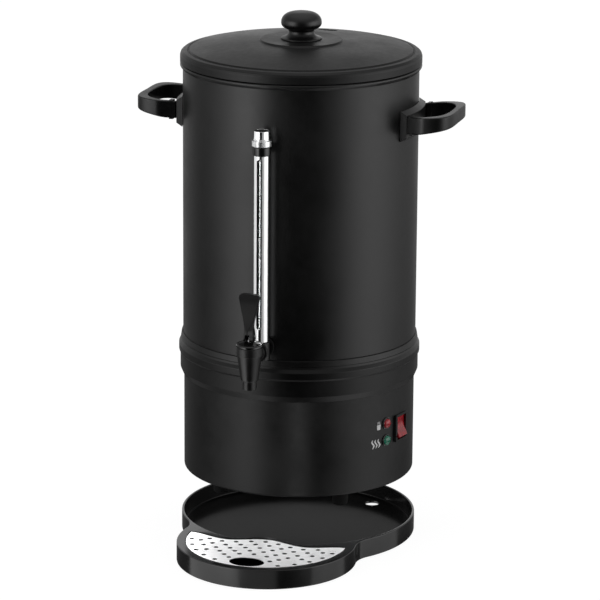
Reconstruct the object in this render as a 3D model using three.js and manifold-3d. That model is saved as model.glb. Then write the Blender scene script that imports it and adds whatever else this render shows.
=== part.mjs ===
// Coffee percolator urn with a loose drip tray.
// Millimetres, +Z up. The origin is on the urn's axis, at the underside of the tray.
// The tap, the sight gauge and the tray's lobe face -Y, and the handles are on +X and -X.
// Heights inside the urn group are counted from the lower edge of the urn's base.

import * as THREE from 'three';
import { mergeVertices, toCreasedNormals } from 'three/addons/utils/BufferGeometryUtils.js';
import Module from 'manifold-3d';

const wasm = await Module();
wasm.setup();

// ---------------------------------------------------------------- driving dimensions

const GAP = 0.3;                  // running gap between neighbouring pieces
const BIG = 40;                   // facets round a large shell
const MID = 20;                   // facets round a knob or a collar
const SMALL = 10;                 // facets round a screw or a pin
const ROUND = 16;                 // facets round the tap's shank and the lamps

const URN_LIFT = 76;              // the urn stands clear above the tray by this much
const TANK_R = 130;               // outer radius of the tank
const TANK_WALL = 1.2;
const TANK_BOTTOM = 120.6;
const TANK_RIM = 461.6;
const RIM_BEAD_R = 133;
const BASE_R = 129;
const BASE_TOP = 116;
const BASE_WALL = 1.2;
const RING_LOW = 109.5;           // lower edge of the joint ring
const RING_TOP = 156.5;
const RING_R = 133.1;
const RING_BEAD_R = 134.6;

const LID_R = 133;
const LID_SKIRT = 462.2;          // lower edge of the lid's skirt
const LID_SHOULDER = 474.2;
const LID_GROOVE_R = 124;
const LID_DISC_R = 46;            // raised centre disc under the knob
const LID_DISC_TOP = 487;
const LID_SHEET = 1.2;
const VENT_R = 84;                // the steam vent's distance from the axis
const VENT_ANGLE = 176;           // degrees from the front
const VENT_HALF = [11, 7.5];
const KNOB_R = 22.3;
const KNOB_TOP = 517.4;

const HANDLE_REACH = 180;         // outer face of the handle's bar, from the axis
const HANDLE_HALF = 48.5;         // half the loop's width
const HANDLE_Z = [387.6, 421.8];  // the plate against the tank
const PLATE_OUT = 137.3;
const PLATE_HALF = 40;

const GAUGE_Y = -144;             // axis of the sight gauge
const GUARD_R = 8.5;
const GUARD_Z = [181.3, 387];
const SLOT_WIDTH = 6;
const SLOT_Z = [196, 383.5];
const GLASS_R = 4;

const TAP_Y = -185;               // axis of the tap
const SHANK_Z = 172;
const SHANK_R = 7.8;
const BODY_TOP = 186;
const SPOUT_Z = 136;
const PIN_Z = 197.8;              // the lever's pin
const LEVER_TOP = 247;
const CAM_LOW = 5.3;              // from the pin down to the foot's underside
const CAM_RISE = 3.7;             // the foot's extra reach for each radian of turn

const SWITCH_ANGLE = 77;
const SWITCH_Z = 63;
const ROCKER_TILT = 12;           // degrees, top pressed in
const PIVOT_Y = -125.5;
const LAMP_ANGLE = 65.2;
const RED_Z = 73.2;
const GREEN_Z = 53.8;

const TRAY_H = 22;
const TRAY_FLOOR = 3;
const PAN_R = 131.8;
const PAN_WALL = 2.6;
const LOBE_Y = 120;               // the lobe's centre is this far in front of the axis
const LOBE_R = 99.5;
const WAIST_R = 34;               // fillet between pan and lobe
const GRID_R = 89.5;
const GRID_SHEET = 0.8;
const GRID_TOP = 21.4;
const FOOT_R = 9;
const FOOT_CIRCLE = 98;
const FOOT_LOW = -20.2;           // the feet's soles, below the base's lower edge

// ---------------------------------------------------------------- materials

const satinBlack = { color: 0x1b1b1c, roughness: 0.45, metalness: 0.3 };
const mouldedBlack = { color: 0x161617, roughness: 0.5, metalness: 0 };
const glossBlack = { color: 0x0c0c0d, roughness: 0.15, metalness: 0 };
const chrome = { color: 0xe4e6e8, roughness: 0.12, metalness: 1 };
const steel = { color: 0xb9bcbf, roughness: 0.35, metalness: 1 };
const zinc = { color: 0x8f9294, roughness: 0.5, metalness: 0.9 };
const rubber = { color: 0x111111, roughness: 0.9, metalness: 0 };
const silicone = { color: 0xc9cdd2, roughness: 0.6, metalness: 0 };
const brass = { color: 0xb08d45, roughness: 0.35, metalness: 1 };
const ceramic = { color: 0xe6e0d2, roughness: 0.7, metalness: 0 };
const glass = { color: 0xdfeaec, roughness: 0.05, metalness: 0 };
const redLens = { color: 0xa01822, roughness: 0.2, metalness: 0 };
const greenLens = { color: 0x1c7a58, roughness: 0.2, metalness: 0 };

// ---------------------------------------------------------------- helpers

const radians = THREE.MathUtils.degToRad;

/** A closed manifold solid from a three.js geometry, with its faces turned outwards. */
function solid(geometry) {
  const bare = geometry.clone();
  bare.deleteAttribute('normal');
  bare.deleteAttribute('uv');
  const merged = mergeVertices(bare, 1e-3);
  const points = merged.attributes.position.array;
  const index = merged.index.array;
  const corner = (i) => new THREE.Vector3().fromArray(points, 3 * i);
  const kept = [];
  let volume = 0;
  for (let i = 0; i < index.length; i += 3) {
    const [a, b, c] = [index[i], index[i + 1], index[i + 2]];
    if (a === b || b === c || c === a) continue;
    kept.push(a, b, c);
    volume += corner(a).dot(corner(b).cross(corner(c)));
  }
  if (volume < 0) kept.reverse();
  const vertProperties = Float32Array.from(points);
  const triVerts = Uint32Array.from(kept);
  return new wasm.Manifold(new wasm.Mesh({ numProp: 3, vertProperties, triVerts }));
}

/** A named mesh from a manifold solid. */
function piece(name, body, look) {
  const { vertProperties, triVerts } = body.getMesh();
  const geometry = new THREE.BufferGeometry();
  geometry.setAttribute('position', new THREE.BufferAttribute(vertProperties, 3));
  geometry.setIndex(new THREE.BufferAttribute(triVerts, 1));
  const mesh = new THREE.Mesh(toCreasedNormals(geometry, radians(25)), new THREE.MeshStandardMaterial(look));
  mesh.name = name;
  return mesh;
}

/** A solid of revolution about Z. The outline is a list of [radius, height]. */
function turned(outline, facets) {
  const onAxis = outline[0][0] === 0 && outline[outline.length - 1][0] === 0;
  const loop = onAxis ? outline : [...outline, outline[0]];
  const geometry = new THREE.LatheGeometry(loop.map(([r, z]) => new THREE.Vector2(r, z)), facets);
  return solid(geometry.rotateX(Math.PI / 2));
}

/** The same, about an axis that points out of the urn's front, -Y. Heights are distances from the axis Z. */
function turnedOutwards(outline, facets, z) {
  return turned(outline, facets).rotate([90, 0, 0]).translate([0, 0, z]);
}

function rod(radius, low, high, facets = SMALL) {
  return turned([[0, low], [radius, low], [radius, high], [0, high]], facets);
}

function pipe(outer, inner, low, high, facets = SMALL) {
  return turned([[inner, low], [outer, low], [outer, high], [inner, high]], facets);
}

/** An upright prism from a list of [x, y]. */
function prism(points, low, high) {
  const shape = new THREE.Shape(points.map(([x, y]) => new THREE.Vector2(x, y)));
  const geometry = new THREE.ExtrudeGeometry(shape, { depth: high - low, bevelEnabled: false });
  return solid(geometry.translate(0, 0, low));
}

/** A box between two corners. */
function block(low, high) {
  const size = high.map((value, i) => value - low[i]);
  const middle = high.map((value, i) => (value + low[i]) / 2);
  return solid(new THREE.BoxGeometry(...size).translate(...middle));
}

/** A prism along X whose outline is a list of [y, z]. */
function sidePrism(points, low, high) {
  return prism(points, low, high).rotate([90, 0, 90]);
}

/** A wire or tube of round section along a curve. */
function wire(curve, radius, steps, facets = 8) {
  const shape = new THREE.Shape();
  for (let i = 0; i < facets; i += 1) {
    const angle = (2 * Math.PI * i) / facets;
    const at = [radius * Math.cos(angle), radius * Math.sin(angle)];
    if (i === 0) shape.moveTo(...at);
    else shape.lineTo(...at);
  }
  shape.closePath();
  return solid(new THREE.ExtrudeGeometry(shape, { steps, extrudePath: curve, bevelEnabled: false }));
}

function arc(x, y, radius, from, to, steps) {
  const points = [];
  for (let i = 0; i <= steps; i += 1) {
    const angle = from + ((to - from) * i) / steps;
    points.push([x + radius * Math.cos(angle), y + radius * Math.sin(angle)]);
  }
  return points;
}

/** A point at an angle from the front, -Y, towards +X. */
function around(radius, angle) {
  return [radius * Math.sin(radians(angle)), -radius * Math.cos(radians(angle))];
}

/** A group turned so that what is built at the front stands at the given angle. */
function turnedTo(angle, ...children) {
  const group = new THREE.Group();
  group.rotation.z = radians(angle);
  group.add(...children);
  return group;
}

// ---------------------------------------------------------------- drip tray

/** The tray's outline in plan: a round pan, a round lobe and two fillets, grown by a given amount. */
function trayOutline(grow) {
  const pan = PAN_R + grow;
  const lobe = LOBE_R + grow;
  const fillet = WAIST_R - grow;
  const toPan = pan + fillet;
  const toLobe = lobe + fillet;
  const y = (toLobe ** 2 - toPan ** 2 - LOBE_Y ** 2) / (2 * LOBE_Y);
  const x = Math.sqrt(toPan ** 2 - y ** 2);
  const panAngle = Math.atan2(y, x);
  const lobeAngle = Math.atan2(y + LOBE_Y, x);
  return [
    ...arc(0, 0, pan, panAngle, Math.PI - panAngle, 36),
    ...arc(-x, y, fillet, -panAngle, -lobeAngle, 7).slice(1, -1),
    ...arc(0, -LOBE_Y, lobe, Math.PI - lobeAngle, 2 * Math.PI + lobeAngle, 28),
    ...arc(x, y, fillet, Math.PI + lobeAngle, Math.PI + panAngle, 7).slice(1, -1),
  ];
}

/** Height in plan of the wavy divider between the pan and the grid. */
function divider(x) {
  const wave = 6;
  const period = 90;
  return -122 + wave * Math.cos((2 * Math.PI * x) / period);
}

/** The x at which the divider, moved by a given amount, meets a circle about (0, y0). */
function meets(shift, radius, y0, upper, low, high) {
  let [a, b] = [low, high];
  const side = upper ? 1 : -1;
  const miss = (x) => divider(x) + shift - (y0 + side * Math.sqrt(Math.max(radius ** 2 - x ** 2, 0)));
  for (let i = 0; i < 40; i += 1) {
    const middle = (a + b) / 2;
    if (Math.sign(miss(middle)) === Math.sign(miss(a))) a = middle;
    else b = middle;
  }
  return a;
}

/** The grid's crescent, drawn in by a given amount. */
function crescent(inset) {
  const radius = GRID_R - inset;
  const tip = meets(-inset, radius, -LOBE_Y, true, radius * 0.9, radius);
  const rise = Math.asin((divider(tip) - inset + LOBE_Y) / radius);
  const front = arc(0, -LOBE_Y, radius, Math.PI - rise, 2 * Math.PI + rise, 28);
  const steps = 18;
  const back = [];
  for (let i = 1; i < steps; i += 1) {
    const x = tip - (2 * tip * i) / steps;
    back.push([x, divider(x) - inset]);
  }
  return [...front, ...back];
}

/** The round pocket that takes the urn's feet, cut off at the divider. */
function panPocket() {
  const radius = PAN_R - PAN_WALL;
  const wall = 5;
  const x = meets(wall, radius, 0, false, 15, 60);
  const corner = Math.asin((divider(x) + wall) / radius);
  const points = arc(0, 0, radius, corner, Math.PI - corner, 40);
  const steps = 10;
  for (let i = 1; i < steps; i += 1) {
    const at = -x + (2 * x * i) / steps;
    points.push([at, divider(at) + wall]);
  }
  return points;
}

function dripTray() {
  const ledge = 3;
  const holeR = 8.5;
  let body = prism(trayOutline(0), 0, TRAY_H);
  body = body.subtract(prism(panPocket(), TRAY_FLOOR, TRAY_H + 1));
  body = body.subtract(prism(crescent(0), GRID_TOP - GRID_SHEET - 0.1, TRAY_H + 1));
  body = body.subtract(prism(crescent(ledge), TRAY_FLOOR, TRAY_H));
  for (const angle of [-148, 148]) {
    const [x, y] = around(114, angle);
    body = body.subtract(rod(holeR, -1, TRAY_FLOOR + 1, 20).translate([x, y, 0]));
  }
  return piece('drip_tray', body, mouldedBlack);
}

/** Drain holes: one row along the grid's round edge, and staggered rows that follow the wavy edge. */
function drainHoles(cupHole) {
  const clear = 5.5;
  const rim = GRID_R - 6.5;
  const along = 18;
  const pitch = 15.6;
  const step = 10.8;
  const holes = [];
  const keep = (x, y) => {
    const inCup = Math.hypot(x / (cupHole.a + clear), (y - cupHole.y) / (cupHole.b + clear)) < 1;
    if (!inCup && y < divider(x) - clear) holes.push([x, y]);
  };
  const count = Math.round((Math.PI * rim) / along);
  for (let i = 0; i <= count; i += 1) {
    const angle = Math.PI + (Math.PI * i) / count;
    keep(rim * Math.cos(angle), -LOBE_Y + rim * Math.sin(angle));
  }
  for (let row = 0; row < 7; row += 1) {
    for (let i = -6; i <= 6; i += 1) {
      const x = (i + 0.5 * (row % 2)) * pitch;
      const y = divider(x) - 7.5 - step * row;
      if (Math.hypot(x, y + LOBE_Y) < rim - 8) keep(x, y);
    }
  }
  return holes;
}

function dripGrid() {
  const cupHole = { y: -193, a: 19.5, b: 14 };
  const drainR = 2.4;
  const shape = new THREE.Shape(crescent(0.5).map(([x, y]) => new THREE.Vector2(x, y)));
  const cup = new THREE.Path();
  cup.absellipse(0, cupHole.y, cupHole.a, cupHole.b, 0, 2 * Math.PI, true);
  shape.holes.push(new THREE.Path(cup.getPoints(20)));
  for (const [x, y] of drainHoles(cupHole)) {
    const points = arc(x, y, drainR, 2 * Math.PI, 0, 6).slice(0, -1);
    shape.holes.push(new THREE.Path(points.map(([px, py]) => new THREE.Vector2(px, py))));
  }
  const geometry = new THREE.ExtrudeGeometry(shape, { depth: GRID_SHEET, bevelEnabled: false });
  return piece('drip_grid', solid(geometry.translate(0, 0, GRID_TOP - GRID_SHEET)), steel);
}

// ---------------------------------------------------------------- base

/** A radial hole through a shell, at an angle from the front. */
function radialHole(radius, angle, z, from, to, facets = SMALL) {
  return rod(radius, from, to, facets).rotate([90, 0, 0]).translate([0, 0, z]).rotate([0, 0, angle]);
}

function baseShell() {
  const r = BASE_R;
  const inner = r - BASE_WALL;
  const flange = 117;
  let body = turned([
    [flange, 0], [r - 2.4, 0], [r - 0.6, 0.9], [r, 2.6], [r, BASE_TOP],
    [inner, BASE_TOP], [inner, 2.8], [r - 2.8, BASE_WALL], [flange, BASE_WALL],
  ], BIG);
  const opening = block([-11.1, -r - 5, SWITCH_Z - 14.1], [11.1, -r + 8, SWITCH_Z + 14.1]);
  body = body.subtract(opening.rotate([0, 0, SWITCH_ANGLE]));
  body = body.subtract(radialHole(5.9, LAMP_ANGLE, RED_Z, r - 9, r + 4, ROUND));
  body = body.subtract(radialHole(5.9, LAMP_ANGLE, GREEN_Z, r - 9, r + 4, ROUND));
  const socket = block([-14.1, r - 8, 24.8], [14.1, r + 5, 45.2]);
  return piece('base_shell', body.subtract(socket), satinBlack);
}

const PLATE_SCREWS = [0, 120, 240];
const PLATE_SCREW_CIRCLE = 111;

/** The plate that closes the base from below. It rests on the base's folded edge. */
function basePlate() {
  const low = BASE_WALL + GAP;
  let body = rod(BASE_R - 3.4, low, low + 1.4, BIG);
  for (let i = 0; i < 8; i += 1) {
    const slot = block([-2, 38, 0], [2, 66, 9]);
    body = body.subtract(slot.rotate([0, 0, 22.5 + 45 * i]));
  }
  for (const angle of PLATE_SCREWS) {
    const [x, y] = around(PLATE_SCREW_CIRCLE, angle);
    body = body.subtract(rod(2.3, 0, 9).translate([x, y, 0]));
  }
  return piece('base_plate', body, zinc);
}

/** A screw from below, through the plate. */
function plateScrew(index) {
  const low = BASE_WALL + GAP;
  const body = turned([
    [0, low - 2.8], [3.4, low - 2.8], [3.9, low - 2], [3.9, low - GAP], [2, low - GAP],
    [2, low + 8], [0, low + 8],
  ], SMALL);
  const mesh = piece(`base_screw_${index + 1}`, body, zinc);
  const [x, y] = around(PLATE_SCREW_CIRCLE, PLATE_SCREWS[index]);
  mesh.position.set(x, y, 0);
  return mesh;
}

/** A rubber foot whose top touches the plate. */
function foot(index) {
  const top = BASE_WALL;
  const body = turned([
    [0, FOOT_LOW], [FOOT_R - 2, FOOT_LOW], [FOOT_R - 1, FOOT_LOW + 1], [FOOT_R + 1, top], [0, top],
  ], 14);
  const mesh = piece(`foot_${index + 1}`, body, rubber);
  const [x, y] = around(FOOT_CIRCLE, 45 + 90 * index);
  mesh.position.set(x, y, 0);
  return mesh;
}

/** The band that joins the base to the tank: a chamfered skirt, a bead and a lip. */
function jointRing() {
  const seat = BASE_TOP + GAP;
  const body = turned([
    [BASE_R + GAP, RING_LOW], [BASE_R + 1, RING_LOW], [RING_R, 116.6], [RING_R, 134],
    [RING_BEAD_R, 136.4], [RING_BEAD_R, 143], [RING_R - 0.6, 147.4], [RING_R - 0.7, 150.4],
    [TANK_R + 1.4, RING_TOP - 0.4],
    [TANK_R + GAP, RING_TOP], [TANK_R + GAP, TANK_BOTTOM - GAP], [TANK_R - 5, TANK_BOTTOM - GAP],
    [TANK_R - 5, seat], [BASE_R + GAP, seat],
  ], BIG);
  return piece('joint_ring', body, satinBlack);
}

// ---------------------------------------------------------------- tank and its electrics

const HANDLE_SCREWS = [-11, 11];
const HANDLE_SCREW_Z = 404.5;

function tankShell() {
  const inner = TANK_R - TANK_WALL;
  const floor = TANK_BOTTOM + TANK_WALL;
  const well = 6;                 // depth of the pump's well
  let body = turned([
    [0, TANK_BOTTOM - well], [27, TANK_BOTTOM - well], [29, TANK_BOTTOM], [TANK_R - 4, TANK_BOTTOM],
    [TANK_R - 1.2, TANK_BOTTOM + 1.2], [TANK_R, TANK_BOTTOM + 4], [TANK_R, TANK_RIM - 6.4],
    [RIM_BEAD_R - 0.8, TANK_RIM - 4.6], [RIM_BEAD_R, TANK_RIM - 2.6], [RIM_BEAD_R - 1, TANK_RIM - 0.6],
    [RIM_BEAD_R - 2.6, TANK_RIM], [inner + 0.6, TANK_RIM], [inner, TANK_RIM - 1],
    [inner, floor + 3], [TANK_R - 4.6, floor], [28, floor], [26, floor - well], [0, floor - well],
  ], BIG);
  body = body.subtract(radialHole(SHANK_R + GAP, 0, SHANK_Z, 120, 140, ROUND));
  for (const side of [90, -90]) {
    for (const turn of HANDLE_SCREWS) {
      body = body.subtract(radialHole(3, side + turn, HANDLE_SCREW_Z, 120, 140));
    }
  }
  return piece('tank_shell', body, satinBlack);
}

/** A tubular ring element under the tank with two cold ends turned down. */
function mainHeater() {
  const radius = 62;
  const z = 114.6;
  const drop = 22;
  const points = [];
  const end = radians(20);
  points.push(new THREE.Vector3(radius * Math.cos(end), radius * Math.sin(end), z - drop));
  points.push(new THREE.Vector3(radius * Math.cos(end), radius * Math.sin(end), z - 6));
  for (let i = 1; i < 16; i += 1) {
    const angle = end + ((2 * Math.PI - 2 * end) * i) / 16;
    points.push(new THREE.Vector3(radius * Math.cos(angle), radius * Math.sin(angle), z));
  }
  points.push(new THREE.Vector3(radius * Math.cos(end), -radius * Math.sin(end), z - 6));
  points.push(new THREE.Vector3(radius * Math.cos(end), -radius * Math.sin(end), z - drop));
  return piece('main_heater', wire(new THREE.CatmullRomCurve3(points), 3.6, 36, 6), steel);
}

function underTank() {
  const top = TANK_BOTTOM - GAP;
  const keepWarm = pipe(46, 36, top - 4, top, 24);
  const thermostat = turned([
    [0, top - 15], [7, top - 15], [7, top - 6], [10, top - 6], [10, top], [0, top],
  ], 14);
  const cutout = block([-9, -7, top - 13], [9, 7, top]);
  const pieces = [
    piece('keep_warm_heater', keepWarm, ceramic),
    piece('thermostat', thermostat, zinc),
    piece('thermal_cutout', cutout, ceramic),
  ];
  pieces[1].position.set(88, 0, 0);
  pieces[2].position.set(-88, 0, 0);
  return pieces;
}

function terminalBlock() {
  const low = BASE_WALL + GAP + 1.4 + GAP;
  let body = block([-26, 70, low], [26, 86, low + 14]);
  for (const x of [-17, 0, 17]) {
    body = body.subtract(rod(2.6, low + 5, low + 20, 10).translate([x, 78, 0]));
  }
  return piece('terminal_block', body, ceramic);
}

/** A three-pole appliance inlet in the rear of the base. */
function powerInlet() {
  const z = 35;
  const face = BASE_R + GAP;
  let body = block([-25, face, z - 12], [25, face + 2.4, z + 12]);
  body = body.add(block([-13.6, face - 24, z - 9.8], [13.6, face + 1, z + 9.8]));
  body = body.subtract(block([-12, face - 16, z - 8], [12, face + 4, z + 8]));
  const pins = [[-7, -1.5], [7, -1.5], [0, 3.2]];
  for (const [x, dz] of pins) {
    body = body.subtract(block([x - 1.3, face - 26, z + dz - 2.3], [x + 1.3, face - 10, z + dz + 2.3]));
  }
  const blades = pins.map(([x, dz], i) => {
    const blade = block([x - 1, face - 29, z + dz - 2], [x + 1, face - 3, z + dz + 2]);
    return piece(`inlet_pin_${i + 1}`, blade, brass);
  });
  return [piece('power_inlet', body, mouldedBlack), ...blades];
}

// ---------------------------------------------------------------- handles

/** Half-width factor of the loop: it narrows where it meets the plate. */
function loopTaper(x) {
  const grown = THREE.MathUtils.smoothstep(x, 132, 152);
  return 0.86 + 0.14 * grown;
}

/** A rounded loop in plan that starts at the plate and reaches out to a given radius. */
function loop(reach, half, power) {
  const start = 132;
  const points = [];
  const steps = 22;
  for (let i = 0; i <= steps; i += 1) {
    const angle = -Math.PI / 2 + (Math.PI * i) / steps;
    const c = Math.cos(angle);
    const s = Math.sin(angle);
    const x = start + (reach - start) * Math.abs(c) ** (2 / power);
    points.push([x, loopTaper(x) * half * Math.sign(s) * Math.abs(s) ** (2 / power)]);
  }
  return points;
}

/** The loop seen from the side: the top rises a little outwards and the underside tapers up. */
const LOOP_SIDE = [[120, 397], [140, 397.2], [180, 405.4], [184, 406], [184, 420.4], [120, 416]];

/** One handle, built on the +X side: a curved plate on the tank and a horizontal loop. */
function handle(name) {
  const [low, high] = HANDLE_Z;
  const inside = TANK_R + GAP;
  const face = [[inside, low], [PLATE_OUT, low + 4.4], [PLATE_OUT, high - 4.4], [inside, high]];
  const shell = turned(face, BIG * 2);
  const plate = shell.intersect(block([90, -PLATE_HALF, low - 5], [150, PLATE_HALF, high + 5]));
  let ring = prism(loop(HANDLE_REACH, HANDLE_HALF, 5), low, high);
  const side = prism(LOOP_SIDE, -80, 80).rotate([90, 0, 0]);
  ring = ring.intersect(side);
  const hole = prism(loop(172, 42, 3.2), low - 5, high + 5);
  ring = ring.subtract(hole.intersect(block([PLATE_OUT + 1.4, -60, low - 6], [190, 60, high + 6])));
  ring = ring.subtract(rod(PLATE_OUT - 2, low - 9, high + 9, BIG * 2));
  let body = plate.add(ring);
  for (const turn of HANDLE_SCREWS) {
    body = body.subtract(radialHole(2.6, 90 + turn, HANDLE_SCREW_Z, 120, 135.4));
  }
  return piece(name, body, mouldedBlack);
}

/** A pan-head screw from inside the tank into the handle's plate. */
function handleScrew(index, side, turn) {
  const under = TANK_R - TANK_WALL - GAP - 0.2;
  const body = turnedOutwards([
    [0, under - 2.6], [3.4, under - 2.6], [4.6, under - 1.2], [4.6, under], [2.2, under],
    [2.2, 134.6], [0, 134.6],
  ], SMALL, HANDLE_SCREW_Z);
  return turnedTo(side + turn, piece(`handle_screw_${index + 1}`, body, steel));
}

// ---------------------------------------------------------------- sight gauge

function gauge() {
  const [low, high] = GUARD_Z;
  let fitting = rod(9.8, 161, low - GAP, 24).add(rod(GUARD_R - 1.9, low - 1, low + 9, 24));
  fitting = fitting.subtract(rod(GLASS_R + GAP, SHANK_Z, low + 10));
  let guard = pipe(GUARD_R, GUARD_R - 1.5, low, high, 28);
  const [slotLow, slotHigh] = SLOT_Z;
  const half = SLOT_WIDTH / 2;
  guard = guard.subtract(block([-half, -12, slotLow + half], [half, 0, slotHigh - half]));
  for (const z of [slotLow + half, slotHigh - half]) {
    guard = guard.subtract(rod(half, 0, 12).rotate([90, 0, 0]).translate([0, 0, z]));
  }
  const tube = pipe(GLASS_R, GLASS_R - 1.2, low + 0.5, high + 11, 16);
  let collar = pipe(9.8, GLASS_R + 0.4, high + GAP, high + 9.5, 28);
  collar = collar.add(block([-4, 6, high + 2], [4, 13.4, high + 8]));
  const parts = [
    piece('gauge_guard_tube', guard, chrome),
    piece('gauge_glass', tube, glass),
    piece('gauge_collar', collar, mouldedBlack),
    piece('gauge_cap', gaugeCap(high + 9.8), chrome),
  ];
  const bore = rod(SHANK_R + GAP, -20, 20, ROUND).rotate([90, 0, 0]).translate([0, 0, SHANK_Z]);
  parts.push(piece('gauge_block', fitting.subtract(bore), mouldedBlack));
  const group = new THREE.Group();
  group.position.y = GAUGE_Y;
  group.add(...parts);
  return group;
}

/** A knurled nut under a tapered cap that closes the top of the glass. */
function gaugeCap(low) {
  const teeth = 22;
  const knurl = [];
  for (let i = 0; i < 2 * teeth; i += 1) {
    const angle = (Math.PI * i) / teeth;
    const r = i % 2 ? 10.8 : 10.1;
    knurl.push([r * Math.cos(angle), r * Math.sin(angle)]);
  }
  const cone = turned([
    [0, low + 6], [9, low + 6], [8.8, low + 8.6], [8.4, low + 16.6], [8, low + 17],
    [7.5, low + 17], [7.3, low + 16], [0, low + 16],
  ], 24);
  const nut = prism(knurl, low, low + 7.2);
  return nut.add(cone).subtract(rod(GLASS_R + GAP, low - 1, low + 5));
}

// ---------------------------------------------------------------- tap

function shankPipe(radius, from, to, facets = ROUND) {
  return rod(radius, from, to, facets).rotate([90, 0, 0]).translate([0, 0, SHANK_Z]);
}

function tapBody() {
  const fromBody = -TAP_Y;        // distance from the urn's axis to the tap's axis
  const shell = turned([
    [0, SPOUT_Z], [7.6, SPOUT_Z], [7.6, 147.4], [8.8, 148.2], [9.8, 150], [13.4, 176],
    [14.3, 176.8], [14.3, BODY_TOP], [0, BODY_TOP],
  ], MID).translate([0, TAP_Y, 0]);
  let body = shell.add(shankPipe(SHANK_R, 119, fromBody - 8));
  body = body.add(shankPipe(11, 154.2, 157.2));
  const chamber = turned([
    [0, SPOUT_Z - 1], [4.6, SPOUT_Z - 1], [4.6, 160], [8.4, 164], [10, 176], [10, BODY_TOP + 1],
    [0, BODY_TOP + 1],
  ], 24).translate([0, TAP_Y, 0]);
  body = body.subtract(chamber).subtract(shankPipe(4.5, 110, fromBody - 6, 16));
  const feed = rod(1.8, SHANK_Z, SHANK_Z + 12, 8).translate([0, GAUGE_Y, 0]);
  return piece('tap_body', body.subtract(feed), mouldedBlack);
}

function tapFixings() {
  const nutY = TANK_R - TANK_WALL - 0.9;
  const nut = shankPipe(13, nutY - 6.4, nutY, 6).subtract(shankPipe(SHANK_R + GAP, 100, 150));
  const seal = shankPipe(11, TANK_R + 0.4, 133.9).subtract(shankPipe(SHANK_R + GAP, 100, 150));
  return [piece('tap_nut', nut, steel), piece('tap_seal', seal, rubber)];
}

function tapBonnet() {
  const low = BODY_TOP + GAP;
  const body = turned([
    [2.8, low - 2.4], [9.6, low - 2.4], [9.6, low], [14.7, low], [14.9, low + 1.6], [13.6, low + 3.2],
    [9, low + 4.6], [6, low + 5.4], [2.8, low + 5.4],
  ], MID);
  const mesh = piece('tap_bonnet', body, glossBlack);
  mesh.position.y = TAP_Y;
  return mesh;
}

function tapValve() {
  const cup = turned([
    [0, 160.5], [4.1, 160.5], [7.3, 163.9], [7.3, 165.6], [4, 168], [2.5, 168], [2.5, 164.2], [0, 164.2],
  ], 20);
  let stem = rod(2.2, 164.5, PIN_Z + 2.2, 12);
  stem = stem.subtract(rod(1.4, -5, 5, 10).rotate([0, 90, 0]).translate([0, 0, PIN_Z]));
  const turns = 4;
  const [low, high] = [169.4, 182.6];
  const points = [];
  for (let i = 0; i <= turns * 8; i += 1) {
    const angle = (2 * Math.PI * i) / 8;
    const z = low + ((high - low) * i) / (turns * 8);
    points.push(new THREE.Vector3(5.4 * Math.cos(angle), 5.4 * Math.sin(angle), z));
  }
  const spring = wire(new THREE.CatmullRomCurve3(points), 0.7, turns * 8, 5);
  const parts = [
    piece('tap_seat_cup', cup, silicone),
    piece('tap_stem', stem, steel),
    piece('tap_spring', spring, steel),
  ];
  for (const mesh of parts) mesh.position.y = TAP_Y;
  return parts;
}

/** The cam under the lever's pin: it lifts the stem steadily as the lever is pulled forward. */
function leverCam() {
  const points = [];
  for (let i = 0; i <= 3; i += 1) {
    const turn = radians(20 * i);
    const reach = CAM_LOW + CAM_RISE * turn;
    const y = -reach * Math.sin(turn) - CAM_RISE * Math.cos(turn);
    const z = PIN_Z - reach * Math.cos(turn) + CAM_RISE * Math.sin(turn);
    points.push([y, z]);
  }
  return points;
}

/** The lever: a forked cam foot on the pin, a neck that leans back and a paddle. */
function tapLever() {
  const half = 11.4;
  const face = [
    [-5.6, PIN_Z - 8], [5.6, PIN_Z - 8], [5.6, PIN_Z - 3], [5, PIN_Z + 5], [4.3, PIN_Z + 9], [5.2, PIN_Z + 15],
    [half - 2.6, PIN_Z + 33], [half, LEVER_TOP - 3.4], [half - 1.4, LEVER_TOP - 1.8],
    [6, LEVER_TOP - 0.4], [0, LEVER_TOP],
    [-6, LEVER_TOP - 0.4], [1.4 - half, LEVER_TOP - 1.8], [-half, LEVER_TOP - 3.4],
    [2.6 - half, PIN_Z + 33], [-5.2, PIN_Z + 15], [-4.3, PIN_Z + 9], [-5, PIN_Z + 5], [-5.6, PIN_Z - 3],
  ];
  let body = prism(face, -8, 14).rotate([90, 0, 0]);
  const side = [
    ...leverCam(), [-10.5, PIN_Z + 1], [-10, PIN_Z + 5], [-7.4, PIN_Z + 13], [-3.4, PIN_Z + 25],
    [-1.4, PIN_Z + 36], [-2, LEVER_TOP + 1], [3.2, LEVER_TOP + 1], [3.4, PIN_Z + 36],
    [4.2, PIN_Z + 16], [6.2, PIN_Z + 4], [6, PIN_Z - CAM_LOW],
  ];
  body = body.intersect(sidePrism(side, -20, 20));
  body = body.subtract(block([-2.7, -14, PIN_Z - 9], [2.7, 3.4, PIN_Z + 3.4]));
  body = body.subtract(rod(1.4, -9, 9, 10).rotate([0, 90, 0]).translate([0, 0, PIN_Z]));
  const pin = rod(1.1, -6.2, 6.2, 10).rotate([0, 90, 0]).translate([0, 0, PIN_Z]);
  const parts = [piece('tap_lever', body, mouldedBlack), piece('tap_lever_pin', pin, steel)];
  for (const mesh of parts) mesh.position.y = TAP_Y;
  return parts;
}

// ---------------------------------------------------------------- switch and lamps

function switchHousing() {
  const back = -BASE_R - GAP;
  const z = SWITCH_Z;
  let body = block([-12.8, back - 2.4, z - 15.4], [12.8, back, z + 15.4]);
  body = body.add(block([-10.7, back - 1, z - 13.8], [10.7, -105, z + 13.8]));
  body = body.subtract(block([-9.6, back - 9, z - 13.3], [9.6, -117, z + 13.3]));
  return piece('switch_housing', body, mouldedBlack);
}

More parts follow.
